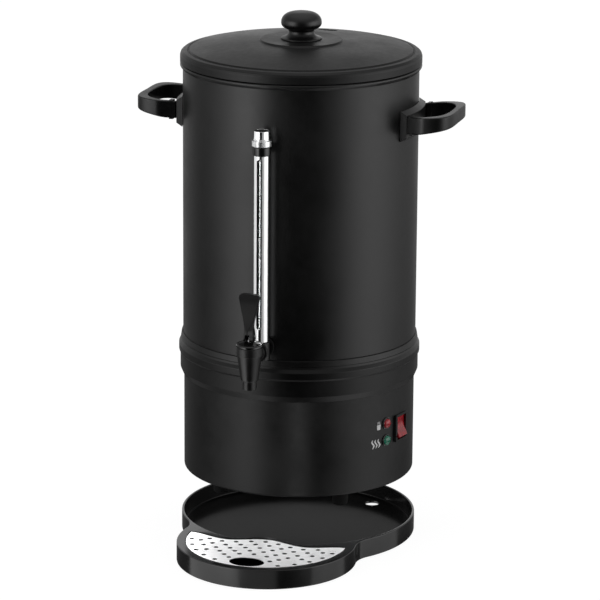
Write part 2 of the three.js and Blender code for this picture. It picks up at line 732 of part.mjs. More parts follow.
/** The rocker, turned about its pivot so that its upper end is pressed in. */
function switchRocker() {
  const end = 11.4;
  const proud = 6.6;
  const outline = [
    [-proud, end], [-4.4, 1.6], [-4.4, -1.6], [-proud, -end], [-proud + 1, -end - 0.2], [3, -end + 1],
    [3, end - 1], [-proud + 1, end + 0.2],
  ];
  const body = sidePrism(outline, -9.2, 9.2).rotate([-ROCKER_TILT, 0, 0]);
  const mesh = piece('switch_rocker', body, redLens);
  mesh.position.set(0, PIVOT_Y, SWITCH_Z);
  return mesh;
}

function lamp(colour, z, look) {
  const r = BASE_R;
  const bezel = turnedOutwards([
    [5.4, r - 11], [5.75, r - 11], [5.75, r + GAP], [6.9, r + GAP], [6.9, r + 1], [6.4, r + 1.5],
    [5.4, r + 1.5],
  ], ROUND, z);
  const lens = turnedOutwards([
    [0, r - 10], [5.2, r - 10], [5.2, r + 1.7], [4, r + 3], [0, r + 3.8],
  ], ROUND, z);
  return [piece(`${colour}_lamp_bezel`, bezel, mouldedBlack), piece(`${colour}_lamp_lens`, lens, look)];
}

// ---------------------------------------------------------------- lid

function lid() {
  const r = LID_R;
  const sheet = LID_SHEET;
  const lip = 127.9;
  const g = LID_GROOVE_R;
  let body = turned([
    [2.6, LID_DISC_TOP - sheet], [LID_DISC_R - 2, LID_DISC_TOP - sheet], [LID_DISC_R, 484.4 - sheet],
    [90, 480.8 - sheet], [lip - 1.2, 473.2 - sheet], [lip - 1.2, 453], [lip, 453], [lip, 470.8],
    [r - sheet, 469.4], [r - sheet, LID_SKIRT], [r, LID_SKIRT], [r, 470], [r - 1.2, 472.8],
    [r - 4, LID_SHOULDER], [g + 1.6, LID_SHOULDER + 0.6], [g, LID_SHOULDER - 0.9],
    [g - 1.8, LID_SHOULDER + 1.8], [90, 480.8], [LID_DISC_R, 485.2], [LID_DISC_R - 1, LID_DISC_TOP],
    [2.6, LID_DISC_TOP],
  ], BIG);
  const [vx, vy] = around(VENT_R, VENT_ANGLE);
  const vent = rod(1, 470, 495, 16).scale([VENT_HALF[0], VENT_HALF[1], 1]).translate([vx, vy, 0]);
  return piece('lid', body.subtract(vent), satinBlack);
}

function lidKnob() {
  const low = LID_DISC_TOP + GAP;
  const body = turned([
    [0, low], [22.6, low], [22.4, low + 1], [17.5, low + 2.6], [14.6, low + 5.6], [14, low + 8.6],
    [15.2, low + 10], [19.6, low + 12.4], [22, low + 15.6], [KNOB_R, low + 18.6], [21.6, low + 22.4],
    [18.6, low + 26.2], [12.6, low + 29], [6, low + 30], [0, KNOB_TOP],
  ], MID);
  return piece('lid_knob', body.subtract(rod(2.5, low - 1, low + 13)), mouldedBlack);
}

function knobScrew() {
  const under = LID_DISC_TOP - LID_SHEET - GAP;
  const body = turned([
    [0, under - 3], [4, under - 3], [5, under - 1.6], [5, under], [2.2, under], [2.2, under + 13],
    [0, under + 13],
  ], SMALL);
  return piece('knob_screw', body, steel);
}

// ---------------------------------------------------------------- brewing insert

function brewInsert() {
  const floor = TANK_BOTTOM + TANK_WALL - 6;
  const basketLow = 372;
  const basketHigh = 440;
  const basketR = 96;
  const facets = 30;
  const tubeR = 6;
  const foot = turned([
    [tubeR + GAP, floor + 14], [24, floor + GAP], [25, floor + GAP], [25, floor + 3], [tubeR + 3, floor + 17],
    [tubeR + 3, floor + 26], [tubeR + GAP, floor + 26],
  ], MID);
  const tube = turned([
    [tubeR - 1, floor + 6], [tubeR, floor + 6], [tubeR, basketLow - 4], [tubeR + 5, basketLow - 2],
    [tubeR + 5, basketLow - 0.6], [tubeR, basketLow - 0.6], [tubeR, 462], [tubeR - 1, 462],
  ], SMALL);
  let basket = turned([
    [tubeR + GAP, basketLow], [basketR - 6, basketLow], [basketR, basketLow + 4], [basketR, basketHigh - 1],
    [basketR + 4, basketHigh - 1], [basketR + 4, basketHigh], [basketR - 1, basketHigh],
    [basketR - 1, basketLow + 5], [basketR - 6.4, basketLow + 1], [tubeR + 1.6, basketLow + 1],
    [tubeR + 1.6, basketLow + 40], [tubeR + GAP, basketLow + 40],
  ], facets);
  let spreader = turned([
    [tubeR + GAP, basketHigh + 3], [40, basketHigh + 3], [basketR - 3, basketHigh + GAP],
    [basketR + 3, basketHigh + GAP], [basketR + 3, basketHigh + 1.1], [basketR - 2.6, basketHigh + 1.1],
    [40, basketHigh + 4], [tubeR + GAP, basketHigh + 4],
  ], facets);
  for (let i = 0; i < 12; i += 1) {
    const drop = rod(3, basketLow - 5, basketHigh + 20, 6).translate([56, 0, 0]).rotate([0, 0, 30 * i]);
    basket = basket.subtract(drop);
    spreader = spreader.subtract(drop.rotate([0, 0, 15]));
  }
  return [
    piece('pump_foot', foot, steel),
    piece('perk_tube', tube, steel),
    piece('filter_basket', basket, steel),
    piece('basket_lid', spreader, steel),
  ];
}

// ---------------------------------------------------------------- the whole object

function handles() {
  const screws = [];
  for (const side of [90, -90]) {
    for (const turn of HANDLE_SCREWS) screws.push(handleScrew(screws.length, side, turn));
  }
  return [handle('right_handle'), turnedTo(180, handle('left_handle')), ...screws];
}

function urn() {
  const group = new THREE.Group();
  group.position.z = URN_LIFT;
  group.add(baseShell(), basePlate(), jointRing(), tankShell(), mainHeater(), terminalBlock());
  group.add(...underTank(), ...powerInlet());
  for (let i = 0; i < 4; i += 1) group.add(foot(i));
  for (let i = 0; i < PLATE_SCREWS.length; i += 1) group.add(plateScrew(i));
  group.add(...handles(), gauge(), tapBody(), ...tapFixings(), tapBonnet(), ...tapValve(), ...tapLever());
  group.add(turnedTo(SWITCH_ANGLE, switchHousing(), switchRocker()));
  group.add(turnedTo(LAMP_ANGLE, ...lamp('red', RED_Z, redLens), ...lamp('green', GREEN_Z, greenLens)));
  group.add(lid(), lidKnob(), knobScrew(), ...brewInsert());
  return group;
}

const model = new THREE.Group();
model.add(dripTray(), dripGrid(), urn());

export default model;
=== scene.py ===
"""Visual model of a coffee percolator urn with a loose drip tray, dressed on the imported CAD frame.

Lengths in this file are millimetres, apart from the lights and the camera, which are placed in metres.
Pieces that ride on the urn are drawn in the urn's own heights, counted from the lower edge of its base,
and dress() lifts them to where the frame has the urn. The tap, the gauge and the lobe face -Y.
A piece called NAME_finish stands in for the frame's node NAME.
"""

from math import asin, atan2, copysign, cos, degrees, hypot, pi, radians, sin, sqrt, tan

import bmesh
import bpy
from mathutils import Euler, Matrix, Vector
from mathutils.geometry import tessellate_polygon


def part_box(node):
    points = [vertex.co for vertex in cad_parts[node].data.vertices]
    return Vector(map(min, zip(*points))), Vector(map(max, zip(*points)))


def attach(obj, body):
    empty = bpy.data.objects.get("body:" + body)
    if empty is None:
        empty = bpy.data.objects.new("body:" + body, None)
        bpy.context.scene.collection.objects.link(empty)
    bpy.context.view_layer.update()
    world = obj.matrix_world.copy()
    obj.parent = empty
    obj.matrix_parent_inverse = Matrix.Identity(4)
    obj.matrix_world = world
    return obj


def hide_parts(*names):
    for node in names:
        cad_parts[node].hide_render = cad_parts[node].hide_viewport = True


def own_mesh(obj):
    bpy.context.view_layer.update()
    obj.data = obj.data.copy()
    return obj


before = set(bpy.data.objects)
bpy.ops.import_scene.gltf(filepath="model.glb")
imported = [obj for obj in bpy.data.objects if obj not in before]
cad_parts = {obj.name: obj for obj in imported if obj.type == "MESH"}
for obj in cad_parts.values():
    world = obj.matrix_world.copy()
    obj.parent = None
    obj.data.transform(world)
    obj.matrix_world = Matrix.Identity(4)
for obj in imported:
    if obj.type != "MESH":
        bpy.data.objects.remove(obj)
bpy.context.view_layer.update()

MM = 0.001
URN_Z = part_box("base_shell")[0].z / MM

# ---- sizes shared by several pieces

TANK_R = 130.0
BASE_R = 129.0
RIM_Z = 461.6
BASE_SCREW_R = 111.0
BASE_SCREW_ANGLES = (0, 120, 240)
GAUGE_Y = -144.0
TAP_Y = -185.0
SHANK_Z = 172.0
PIN_Z = 197.8
SWITCH_ANGLE = 77.0
SWITCH_Z = 63.0
LAMP_ANGLE = 65.2
RED_Z = 73.2
GREEN_Z = 53.8
INSERT_Z = 115.8
PAN_R = 131.8
LOBE_Y = 120.0
LOBE_R = 99.5
GRID_R = 89.5
CUP_HOLE = (0, -193, 19.5, 14)
TRAY_H = 22.0
TRAY_FLOOR = 3.0
GRID_TOP = 21.4

# ---- outlines


def rounded(corners, steps=4):
    """A list of 2-D points in which each corner that has a third number is rounded to that radius."""
    points = []
    for i, corner in enumerate(corners):
        here = Vector(corner[:2])
        radius = corner[2] if len(corner) > 2 else 0
        back = Vector(corners[i - 1][:2]) - here
        ahead = Vector(corners[(i + 1) % len(corners)][:2]) - here
        half = back.angle(ahead) / 2
        if not radius or half > radians(89):
            points.append(tuple(here))
            continue
        cut = min(radius / tan(half), 0.49 * back.length, 0.49 * ahead.length)
        radius = cut * tan(half)
        middle = here + (back.normalized() + ahead.normalized()).normalized() * radius / sin(half)
        first = here + back.normalized() * cut - middle
        last = here + ahead.normalized() * cut - middle
        start = atan2(first.y, first.x)
        sweep = atan2(last.y, last.x) - start
        sweep = (sweep + pi) % (2 * pi) - pi
        points += arc(middle.x, middle.y, radius, start, start + sweep, steps)
    return points


def flowing(points, steps):
    """A smooth curve through the points (Catmull-Rom)."""
    spots = [Vector(point) for point in (points[0], *points, points[-1])]
    out = []
    for p0, p1, p2, p3 in zip(spots, spots[1:], spots[2:], spots[3:]):
        for k in range(steps):
            t = k / steps
            spot = 0.5 * (2 * p1 + (p2 - p0) * t + (2 * p0 - 5 * p1 + 4 * p2 - p3) * t ** 2
                          + (3 * p1 - p0 - 3 * p2 + p3) * t ** 3)
            out.append(tuple(spot))
    return out + [tuple(points[-1])]


def ellipse(x, y, a, b, steps):
    angles = [2 * pi * i / steps for i in range(steps)]
    return [(x + a * cos(angle), y + b * sin(angle)) for angle in angles]


def circle(x, y, radius, steps):
    return ellipse(x, y, radius, radius, steps)


def arc(x, y, radius, start, end, steps):
    angles = [start + (end - start) * i / steps for i in range(steps + 1)]
    return [(x + radius * cos(angle), y + radius * sin(angle)) for angle in angles]


def quarter(steps):
    """The cosine and sine of equal steps through a quarter turn."""
    return arc(0, 0, 1, 0, pi / 2, steps)


def rectangle(half_x, half_y, radius):
    """The corners of an upright rectangle about 0, for rounded()."""
    return [(-half_x, -half_y, radius), (half_x, -half_y, radius), (half_x, half_y, radius),
            (-half_x, half_y, radius)]


def around(radius, degrees):
    """A point at an angle from the front towards +X."""
    angle = radians(degrees)
    return radius * sin(angle), -radius * cos(angle)


def grown(points, by):
    """An anticlockwise outline with its points moved outwards."""
    out = []
    for before, here, after in zip(points[-1:] + points[:-1], points, points[1:] + points[:1]):
        ahead = Vector(after) - Vector(before)
        normal = Vector((ahead.y, -ahead.x)).normalized()
        out.append((here[0] + normal.x * by, here[1] + normal.y * by))
    return out


def at(outline, z):
    return [(x, y, z) for x, y in outline]


def flat(ring):
    return [(x, y) for x, y, z in ring]


# ---- meshes


def new_object(name, mesh):
    obj = bpy.data.objects.new(name, mesh)
    bpy.context.scene.collection.objects.link(obj)
    return clean(obj)


def mesh_object(name, points, faces):
    """An object from points in millimetres and faces that are lists of point numbers."""
    mesh = bpy.data.meshes.new(name)
    mesh.from_pydata([Vector(point) * MM for point in points], [], faces)
    mesh.validate()
    return new_object(name, mesh)


def clean(obj):
    """Merges double points and turns every face outwards."""
    bm = bmesh.new()
    bm.from_mesh(obj.data)
    bmesh.ops.remove_doubles(bm, verts=bm.verts, dist=0.002 * MM)
    bmesh.ops.recalc_face_normals(bm, faces=bm.faces)
    bm.to_mesh(obj.data)
    bm.free()
    return obj


def lathe(name, outline, steps):
    """A surface of revolution about Z. The outline is a closed list of (radius, height)."""
    points = []
    rings = []
    for radius, z in outline:
        count = steps if radius > 1e-6 else 1
        rings.append([len(points) + i % count for i in range(steps)])
        points += at(circle(0, 0, radius, count), z)
    faces = []
    for low, high in zip(rings, rings[1:] + rings[:1]):
        for i in range(steps):
            j = (i + 1) % steps
            corners = [low[i], low[j], high[j], high[i]]
            kept = [corner for k, corner in enumerate(corners) if corner != corners[k - 1]]
            if len(kept) > 2:
                faces.append(kept)
    return mesh_object(name, points, faces)


def turned(name, corners, steps, corner_steps=4):
    """A surface of revolution whose outline is given by its corners."""
    return lathe(name, rounded(corners, corner_steps), steps)


def skin(name, rings, caps=True):
    """Quads between rings of equally many points, and a face on the first and the last ring."""
    count = len(rings[0])
    points = [point for ring in rings for point in ring]
    last = len(points) - count
    faces = []
    for start in range(0, last, count):
        for i in range(count):
            j = (i + 1) % count
            faces.append([start + i, start + j, start + count + j, start + count + i])
    if caps:
        faces += [list(range(count)), list(range(last, len(points)))]
    return mesh_object(name, points, faces)


def filled(name, outlines, z):
    """A flat sheet at a height: the first outline with the others cut out of it."""
    loops = [[Vector((x, y, 0)) for x, y in outline] for outline in outlines]
    points = [(spot.x, spot.y, z) for loop in loops for spot in loop]
    return mesh_object(name, points, [list(face) for face in tessellate_polygon(loops)])


def joined(name, parts):
    """One mesh object out of several, with double points merged."""
    bm = bmesh.new()
    for part in parts:
        bm.from_mesh(part.data)
    mesh = bpy.data.meshes.new(name)
    bm.to_mesh(mesh)
    bm.free()
    discard(parts)
    return new_object(name, mesh)


def discard(pieces):
    for obj in pieces:
        mesh = obj.data
        bpy.data.objects.remove(obj)
        bpy.data.meshes.remove(mesh)


def modify(obj, kind, **settings):
    modifier = obj.modifiers.new(kind.lower(), kind)
    for key, value in settings.items():
        setattr(modifier, key, value)


def applied(obj):
    """Turns the object's modifiers into its mesh."""
    graph = bpy.context.evaluated_depsgraph_get()
    mesh = bpy.data.meshes.new_from_object(obj.evaluated_get(graph), depsgraph=graph)
    old = obj.data
    obj.modifiers.clear()
    obj.data = mesh
    bpy.data.meshes.remove(old)
    return obj


def carve(obj, cutters, operation="DIFFERENCE"):
    """Cuts the cutters out of the object, or joins them to it, and removes them."""
    for cutter in cutters:
        modify(obj, "BOOLEAN", operation=operation, object=cutter, solver="EXACT")
    applied(obj)
    discard(cutters)
    return clean(obj)


def soften(obj, width, segments=3, angle=35):
    """Rounds the sharp edges."""
    modify(obj, "BEVEL", width=width * MM, segments=segments, limit_method="ANGLE",
           angle_limit=radians(angle), miter_outer="MITER_ARC")
    return applied(obj)


def move(obj, x=0, y=0, z=0):
    obj.data.transform(Matrix.Translation(Vector((x, y, z)) * MM))
    return obj


def turn(obj, degrees, axis="Z"):
    obj.data.transform(Matrix.Rotation(radians(degrees), 4, axis))
    return obj


def stretch(obj, x, y):
    obj.data.transform(Matrix.Diagonal((x, y, 1, 1)))
    return obj


def forwards(obj, z=0):
    """Turns a piece so that its Z axis points out of the front, and lifts it."""
    return move(turn(obj, 90, "X"), z=z)


def block(name, low, high):
    """A box between two corners."""
    corners = [(x, y, z) for x in (low[0], high[0]) for y in (low[1], high[1]) for z in (low[2], high[2])]
    faces = [[0, 1, 3, 2], [4, 6, 7, 5], [0, 4, 5, 1], [2, 3, 7, 6], [0, 2, 6, 4], [1, 5, 7, 3]]
    return mesh_object(name, corners, faces)


def rod(radius, low, high, steps=48):
    """A cylinder to cut with."""
    return lathe("cutter", [(0, low), (radius, low), (radius, high), (0, high)], steps)


def prism(name, outline, low, high):
    """An upright prism on a 2-D outline."""
    return skin(name, [at(outline, low), at(outline, high)])


def plate(name, outline, holes, low, high, edge):
    """A flat sheet with holes and softened edges."""
    parts = []
    for z in (low, high):
        parts.append(filled(name, [grown(outline, -edge)] + [grown(hole, edge) for hole in holes], z))
    levels = [(low, edge), (low + edge, 0), (high - edge, 0), (high, edge)]
    for loop, side in [(outline, -1)] + [(hole, 1) for hole in holes]:
        parts.append(skin(name, [at(grown(loop, side * by), z) for z, by in levels], caps=False))
    return joined(name, parts)


def wire(name, path, radius, steps):
    """A round wire along a list of points."""
    rings = []
    for before, here, after in zip(path[:1] + path, path, path[1:] + path[-1:]):
        along = (Vector(after) - Vector(before)).normalized()
        across = along.cross(Vector((0, 0, 1)))
        across.normalize()
        upward = across.cross(along)
        rings.append([Vector(here) + across * x + upward * y for x, y in circle(0, 0, radius, steps)])
    return skin(name, rings)


# ---- materials


def node(tree, kind, inputs=None, output=0, **settings):
    """Adds a shader node and gives one of its outputs. An input is a value or a node's output."""
    made = tree.nodes.new(f"ShaderNode{kind}")
    for key, value in settings.items():
        setattr(made, key, value)
    for key, value in (inputs or {}).items():
        if isinstance(value, bpy.types.NodeSocket):
            tree.links.new(value, made.inputs[key])
        else:
            made.inputs[key].default_value = value
    return made.outputs[output]


def show(shader, kind="OutputMaterial"):
    """Links a shader to its tree's output."""
    tree = shader.id_data
    tree.links.new(shader, tree.nodes.new(f"ShaderNode{kind}").inputs["Surface"])


def grey(value):
    return (value, value, value, 1.0)


def scaled(colour, by):
    return tuple(part * by for part in colour[:3]) + (1.0,)


def new_material(name):
    """An empty material, and the object coordinates that its textures use."""
    material = bpy.data.materials.new(name)
    material.use_nodes = True
    tree = material.node_tree
    tree.nodes.clear()
    return material, node(tree, "TexCoord", output="Object")


def noise_at(place, scale, detail=3.0, roughness=0.55):
    return node(place.id_data, "TexNoise",
                {"Vector": place, "Scale": scale, "Detail": detail, "Roughness": roughness}, "Fac")


def spread(fac, low=0.0, high=1.0, start=0.35, end=0.65):
    """A number that runs from low to high as fac goes from start to end."""
    return node(fac.id_data, "MapRange", {
        "Value": fac, "From Min": start, "From Max": end, "To Min": low, "To Max": high})


def blended(fac, first, second):
    """Two colours mixed by fac."""
    return node(fac.id_data, "Mix", {0: fac, 6: first, 7: second}, 2, data_type="RGBA")


def mixed(fac, first, second):
    """Two numbers mixed by fac."""
    return node(fac.id_data, "Mix", {0: fac, 2: first, 3: second})


def reckon(operation, first, second):
    return node(first.id_data, "Math", {0: first, 1: second}, operation=operation)


def height_of(vector):
    return node(vector.id_data, "SeparateXYZ", {"Vector": vector}, "Z")


def worn_edges(place, amount):
    """How much a spot is a rubbed outer edge, broken up by noise."""
    edge = node(place.id_data, "NewGeometry", output="Pointiness")
    patchy = spread(noise_at(place, 90.0, 4.0), 0.0, amount, 0.4, 0.6)
    return reckon("MULTIPLY", spread(edge, 0.0, 1.0, 0.53, 0.62), patchy)


def principled(relief, depth, strength=1.0, **inputs):
    """Makes the surface, with a bump relief whose depth is in mm; an input's name has _ for a space."""
    sockets = {key.replace("_", " "): value for key, value in inputs.items()}
    sockets["Normal"] = node(relief.id_data, "Bump", {
        "Height": relief, "Strength": strength, "Distance": depth * MM})
    show(node(relief.id_data, "BsdfPrincipled", sockets))


def coated(name, colour, rough, metallic=0.0, grain=1500.0, bump=0.012, mottle=0.25, wear=0.25,
           worn=None, specular=0.5, coat=0.0, smudge=0.06):
    """An opaque finish: mottled colour, smudged roughness, a fine surface grain and rubbed edges."""
    material, place = new_material(name)
    broad = noise_at(place, 14.0, 4.0)
    darker, lighter = scaled(colour, 1 - mottle), scaled(colour, 1 + mottle)
    tint = blended(spread(broad), darker, lighter)
    bright = tuple(min(part * 3 + 0.01, 1) for part in colour[:3]) + (1.0,)
    tint = blended(worn_edges(place, wear), tint, worn or bright)
    smudged = spread(broad, rough - smudge, rough + smudge, 0.3, 0.7)
    speck = spread(noise_at(place, 170.0), -0.02, 0.02)
    principled(noise_at(place, grain, 2.0), bump, Base_Color=tint, Metallic=metallic,
               Roughness=reckon("ADD", smudged, speck), Specular_IOR_Level=specular,
               Coat_Weight=coat, Coat_Roughness=0.08)
    return material


def brushed(name, colour, rough, stretched, bump=0.004, scratch=0.08):
    """Bare metal with brush lines; stretched gives the lines' direction as a scale per axis."""
    material, place = new_material(name)
    lines = node(place.id_data, "Mapping", {"Vector": place, "Scale": stretched})
    stroke = noise_at(lines, 60.0, 5.0, 0.65)
    tint = blended(spread(stroke), scaled(colour, 0.86), colour)
    streaks = spread(stroke, rough - scratch, rough + scratch)
    stains = spread(noise_at(place, 22.0), -0.03, 0.05)
    principled(stroke, bump, Base_Color=tint, Metallic=1.0,
               Roughness=reckon("ADD", streaks, stains))
    return material


def tray_plastic():
    """Glossy moulded plastic whose level floors, low in the tray, are duller."""
    material, place = new_material("tray plastic")
    floor_top = 6.5 * MM
    level = height_of(node(place.id_data, "NewGeometry", output="Normal"))
    low = reckon("LESS_THAN", height_of(place), floor_top)
    is_floor = reckon("MULTIPLY", spread(level, 0.0, 1.0, 0.1, 0.5), low)
    broad = noise_at(place, 18.0, 5.0)
    roughness = mixed(is_floor, spread(broad, 0.13, 0.2), spread(broad, 0.15, 0.2))
    tint = blended(spread(broad), grey(0.006), grey(0.009))
    tint = blended(worn_edges(place, 0.2), tint, grey(0.06))
    principled(noise_at(place, 260.0), 0.004, Base_Color=tint, Roughness=roughness,
               Specular_IOR_Level=mixed(is_floor, 0.5, 0.015))
    return material


def clear_glass():
    material, place = new_material("gauge glass")
    film = noise_at(place, 120.0, 4.0)
    principled(film, 0.002, 0.05, Base_Color=(0.86, 0.9, 0.93, 1.0), Transmission_Weight=1.0,
               IOR=1.47, Roughness=spread(film, 0.09, 0.14))
    return material


def lens_plastic(name, colour, glow):
    """Tinted translucent plastic with a faint painted glow: an emission that stands in for light scattered
    inside it.
    """
    material, place = new_material(name)
    cloud = noise_at(place, 260.0)
    tint = blended(spread(cloud), scaled(colour, 0.6), colour)
    principled(cloud, 0.01, 0.5, Base_Color=tint, Roughness=spread(cloud, 0.2, 0.3),
               Subsurface_Weight=0.35, Subsurface_Radius=(0.004, 0.003, 0.003), Subsurface_Scale=1.0,
               Coat_Weight=0.12, Coat_Roughness=0.1, Emission_Color=colour, Emission_Strength=glow)
    return material


MATERIALS = {
    "coat": coated("satin powder coat", grey(0.0045), 0.36, grain=1100, bump=0.02, wear=0.3),
    "base coat": coated("base powder coat", grey(0.0045), 0.38, grain=1100, bump=0.02, wear=0.2,
                        specular=0.32),
    "lid coat": coated("lid powder coat", grey(0.0075), 0.4, grain=1300, bump=0.02, specular=0.3),
    "moulded": coated("moulded black plastic", grey(0.005), 0.34, grain=2600, bump=0.014, wear=0.3,
                      specular=0.45),
    "lever": coated("lever plastic", grey(0.005), 0.3, grain=2200, wear=0.5, specular=0.2),
    "glossy": coated("glossy black plastic", grey(0.006), 0.12, grain=900, bump=0.004, coat=0.4,
                     smudge=0.03),
    "tray": tray_plastic(),
    "chrome": brushed("chrome plating", (0.92, 0.925, 0.93, 1), 0.15, (9, 9, 1), 0.001, 0.04),
    "grid steel": brushed("brushed grid steel", (0.88, 0.88, 0.885, 1), 0.36, (1, 14, 1), 0.002),
    "steel": brushed("stainless steel", (0.62, 0.61, 0.6, 1), 0.26, (1, 1, 9)),
    "turned steel": brushed("turned steel", (0.55, 0.55, 0.56, 1), 0.24, (3, 3, 3), 0.003),
    # Darkened steel for the inside of the gauge guard and its slot walls: painted shade that stands for the
    # shadow inside the tube.
    "shade-painted steel": coated("shade-painted steel", grey(0.04), 0.45, 0.7, 900, 0.004, wear=0.1),
    "zinc": coated("zinc plate", (0.34, 0.35, 0.37, 1), 0.42, 0.9, 500, 0.01, 0.15,
                   worn=(0.7, 0.7, 0.7, 1)),
    "rubber": coated("black rubber", grey(0.004), 0.85, grain=1400, bump=0.05, wear=0.5,
                     worn=grey(0.015), specular=0.2),
    "silicone": coated("silicone", (0.5, 0.52, 0.54, 1), 0.55, 0, 700, 0.01, 0.06, 0.1,
                       (0.62, 0.64, 0.66, 1)),
    "brass": coated("brass", (0.62, 0.43, 0.17, 1), 0.3, 1, 800, 0.006, 0.12, worn=(0.85, 0.7, 0.4, 1)),
    "ceramic": coated("steatite ceramic", (0.68, 0.63, 0.54, 1), 0.7, 0, 900, 0.03, 0.08,
                      worn=(0.5, 0.46, 0.4, 1)),
    "print": coated("pale print", grey(0.62), 0.5, bump=0.004, mottle=0.12, wear=0.3, worn=grey(0.2)),
    "mark": coated("gauge marks", grey(0.02), 0.5, bump=0.002),
    "glass": clear_glass(),
    # Both lens plastics carry a faint painted glow; the red one also dresses the rocker.
    "red": lens_plastic("red lens", (0.36, 0.008, 0.016, 1), 0.05),
    "green": lens_plastic("green lens", (0.01, 0.17, 0.1, 1), 0.06),
}


def two_finishes(obj, main, other, is_other):
    """Gives the faces that a test picks, by their centre in mm and their normal, a second finish."""
    for key in (main, other):
        obj.data.materials.append(MATERIALS[key])
    for polygon in obj.data.polygons:
        polygon.material_index = int(is_other(polygon.center / MM, polygon.normal))


def dress(obj, finish, body="urn", y=0, sharp=32.0):
    """Gives a finished piece its finish, its shading and its place in the frame."""
    move(obj, 0, y, 0 if body in ("tray", "grid") else URN_Z)
    if not obj.data.materials:
        obj.data.materials.append(MATERIALS[finish])
    for polygon in obj.data.polygons:
        polygon.use_smooth = True
    obj.data.set_sharp_from_angle(angle=radians(sharp))
    modify(obj, "WEIGHTED_NORMAL", keep_sharp=True)
    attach(obj, body)
    if obj.name.endswith("_finish"):
        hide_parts(obj.name.removesuffix("_finish"))
    return obj


# ---- tank, ring and base


def tank_shell():
    outline = [(0, 114.6), (26.6, 114.6), (29, 120.6), (126, 120.6)]
    outline += arc(126, 124.6, 4, -pi / 2, 0, 6)
    outline += [(TANK_R, 300), (TANK_R, 452), (TANK_R, RIM_Z - 6.4)]
    outline += arc(130.7, RIM_Z - 2.4, 2.3, -1.0, 2.4, 14)
    outline += [(128.8, RIM_Z - 3.6), (128.8, 300), (128.8, 126)]
    outline += arc(124.8, 125.8, 4, 0, -pi / 2, 6)
    outline += [(28, 121.8), (25.4, INSERT_Z), (0, INSERT_Z)]

    def is_inside(spot, normal):
        underside = normal.z < -0.5 and spot.z < 121
        return hypot(spot.x, spot.y) < 129.2 and spot.z > 115.2 and not underside

    obj = lathe("tank_shell_finish", outline, 256)
    two_finishes(obj, "coat", "steel", is_inside)
    dress(obj, "coat")


def joint_ring():
    dress(turned("joint_ring_finish", [
        (129.3, 109.5), (130.2, 109.5, 0.5), (133.1, 116.4, 1.2), (133.1, 134, 0.7), (134.7, 136.2, 1.0),
        (134.7, 143.2, 1.8), (132.6, 147.2, 0.6), (132.0, 149.4, 0.35), (132.5, 150.2, 0.5),
        (131.5, 156.2, 0.6), (130.3, 156.6), (130.3, 120.3), (125, 120.3), (125, 116.3), (129.3, 116.3),
    ], 256), "base coat")


def base_shell():
    obj = turned("base_shell_finish", [
        (117, 0, 0.3), (BASE_R, 0, 2.8), (BASE_R, 116), (127.8, 116), (127.8, 1.2, 1.6), (117, 1.2, 0.3),
    ], 256, 7)
    inner, outer = BASE_R - 9, BASE_R + 5
    switch_hole = block("cutter", (-11.1, -outer, SWITCH_Z - 14.1), (11.1, -inner, SWITCH_Z + 14.1))
    lamp_holes = [turn(forwards(rod(5.9, inner, outer), z), LAMP_ANGLE) for z in (RED_Z, GREEN_Z)]
    inlet_hole = block("cutter", (-14.1, inner, 24.9), (14.1, outer, 45.1))
    carve(obj, [turn(switch_hole, SWITCH_ANGLE), inlet_hole] + lamp_holes)
    dress(obj, "base coat")


def base_plate():
    vents = []
    for i in range(8):
        angle = radians(22.5 + 45 * i)
        c, s = cos(angle), sin(angle)
        slit = rounded([(-2, 38, 2), (2, 38, 2), (2, 66, 2), (-2, 66, 2)], 5)
        vents.append([(x * c - y * s, x * s + y * c) for x, y in slit])
    holes = [circle(*around(BASE_SCREW_R, angle), 2.3, 20) for angle in BASE_SCREW_ANGLES]
    dress(plate("base_plate_finish", circle(0, 0, 125.6, 192), vents + holes, 1.5, 2.9, 0.25), "zinc")


def screw(name, head, height, shaft, length):
    """A pan-head screw whose head is down at 0 and whose shaft points up, with a cross slot."""
    obj = turned(f"{name}_finish", [
        (0, -height), (head * 0.82, -height, 0.5), (head, -height * 0.55, 0.8), (head, 0, 0.25), (shaft, 0),
        (shaft, length, 0.4), (0, length),
    ], 40)
    reach = head * 0.55
    half = 0.45
    cross = [block("cutter", (-x, -y, -height - 1), (x, y, -0.45 * height))
             for x, y in ((reach, half), (half, reach))]
    return carve(obj, cross)


def base_screws():
    for i, angle in enumerate(BASE_SCREW_ANGLES):
        obj = screw(f"base_screw_{i + 1}", 3.9, 2.5, 2.0, 8.2)
        dress(move(obj, *around(BASE_SCREW_R, angle), 1.2), "zinc")


def feet():
    for i in range(4):
        obj = turned(f"foot_{i + 1}_finish", [
            (0, -17.4), (2.6, -17.4, 0.4), (3.2, -20.2, 0.5), (7.2, -20.2, 1.2), (8.2, -18.6, 0.8),
            (9.9, -1.4, 0.6), (10, 1.2, 0.3), (0, 1.2),
        ], 64)
        dress(move(obj, *around(98, 45 + 90 * i)), "rubber")


def electrics():
    """The hidden parts under the tank keep their CAD meshes and get real finishes."""
    finishes = {
        "main_heater": "turned steel", "keep_warm_heater": "ceramic", "thermostat": "zinc",
        "thermal_cutout": "ceramic", "terminal_block": "ceramic", "tap_seat_cup": "silicone",
    }
    for name, finish in finishes.items():
        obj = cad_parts[name]
        obj.data.materials.clear()
        obj.data.materials.append(MATERIALS[finish])
        modify(obj, "BEVEL", width=0.25 * MM, segments=2)


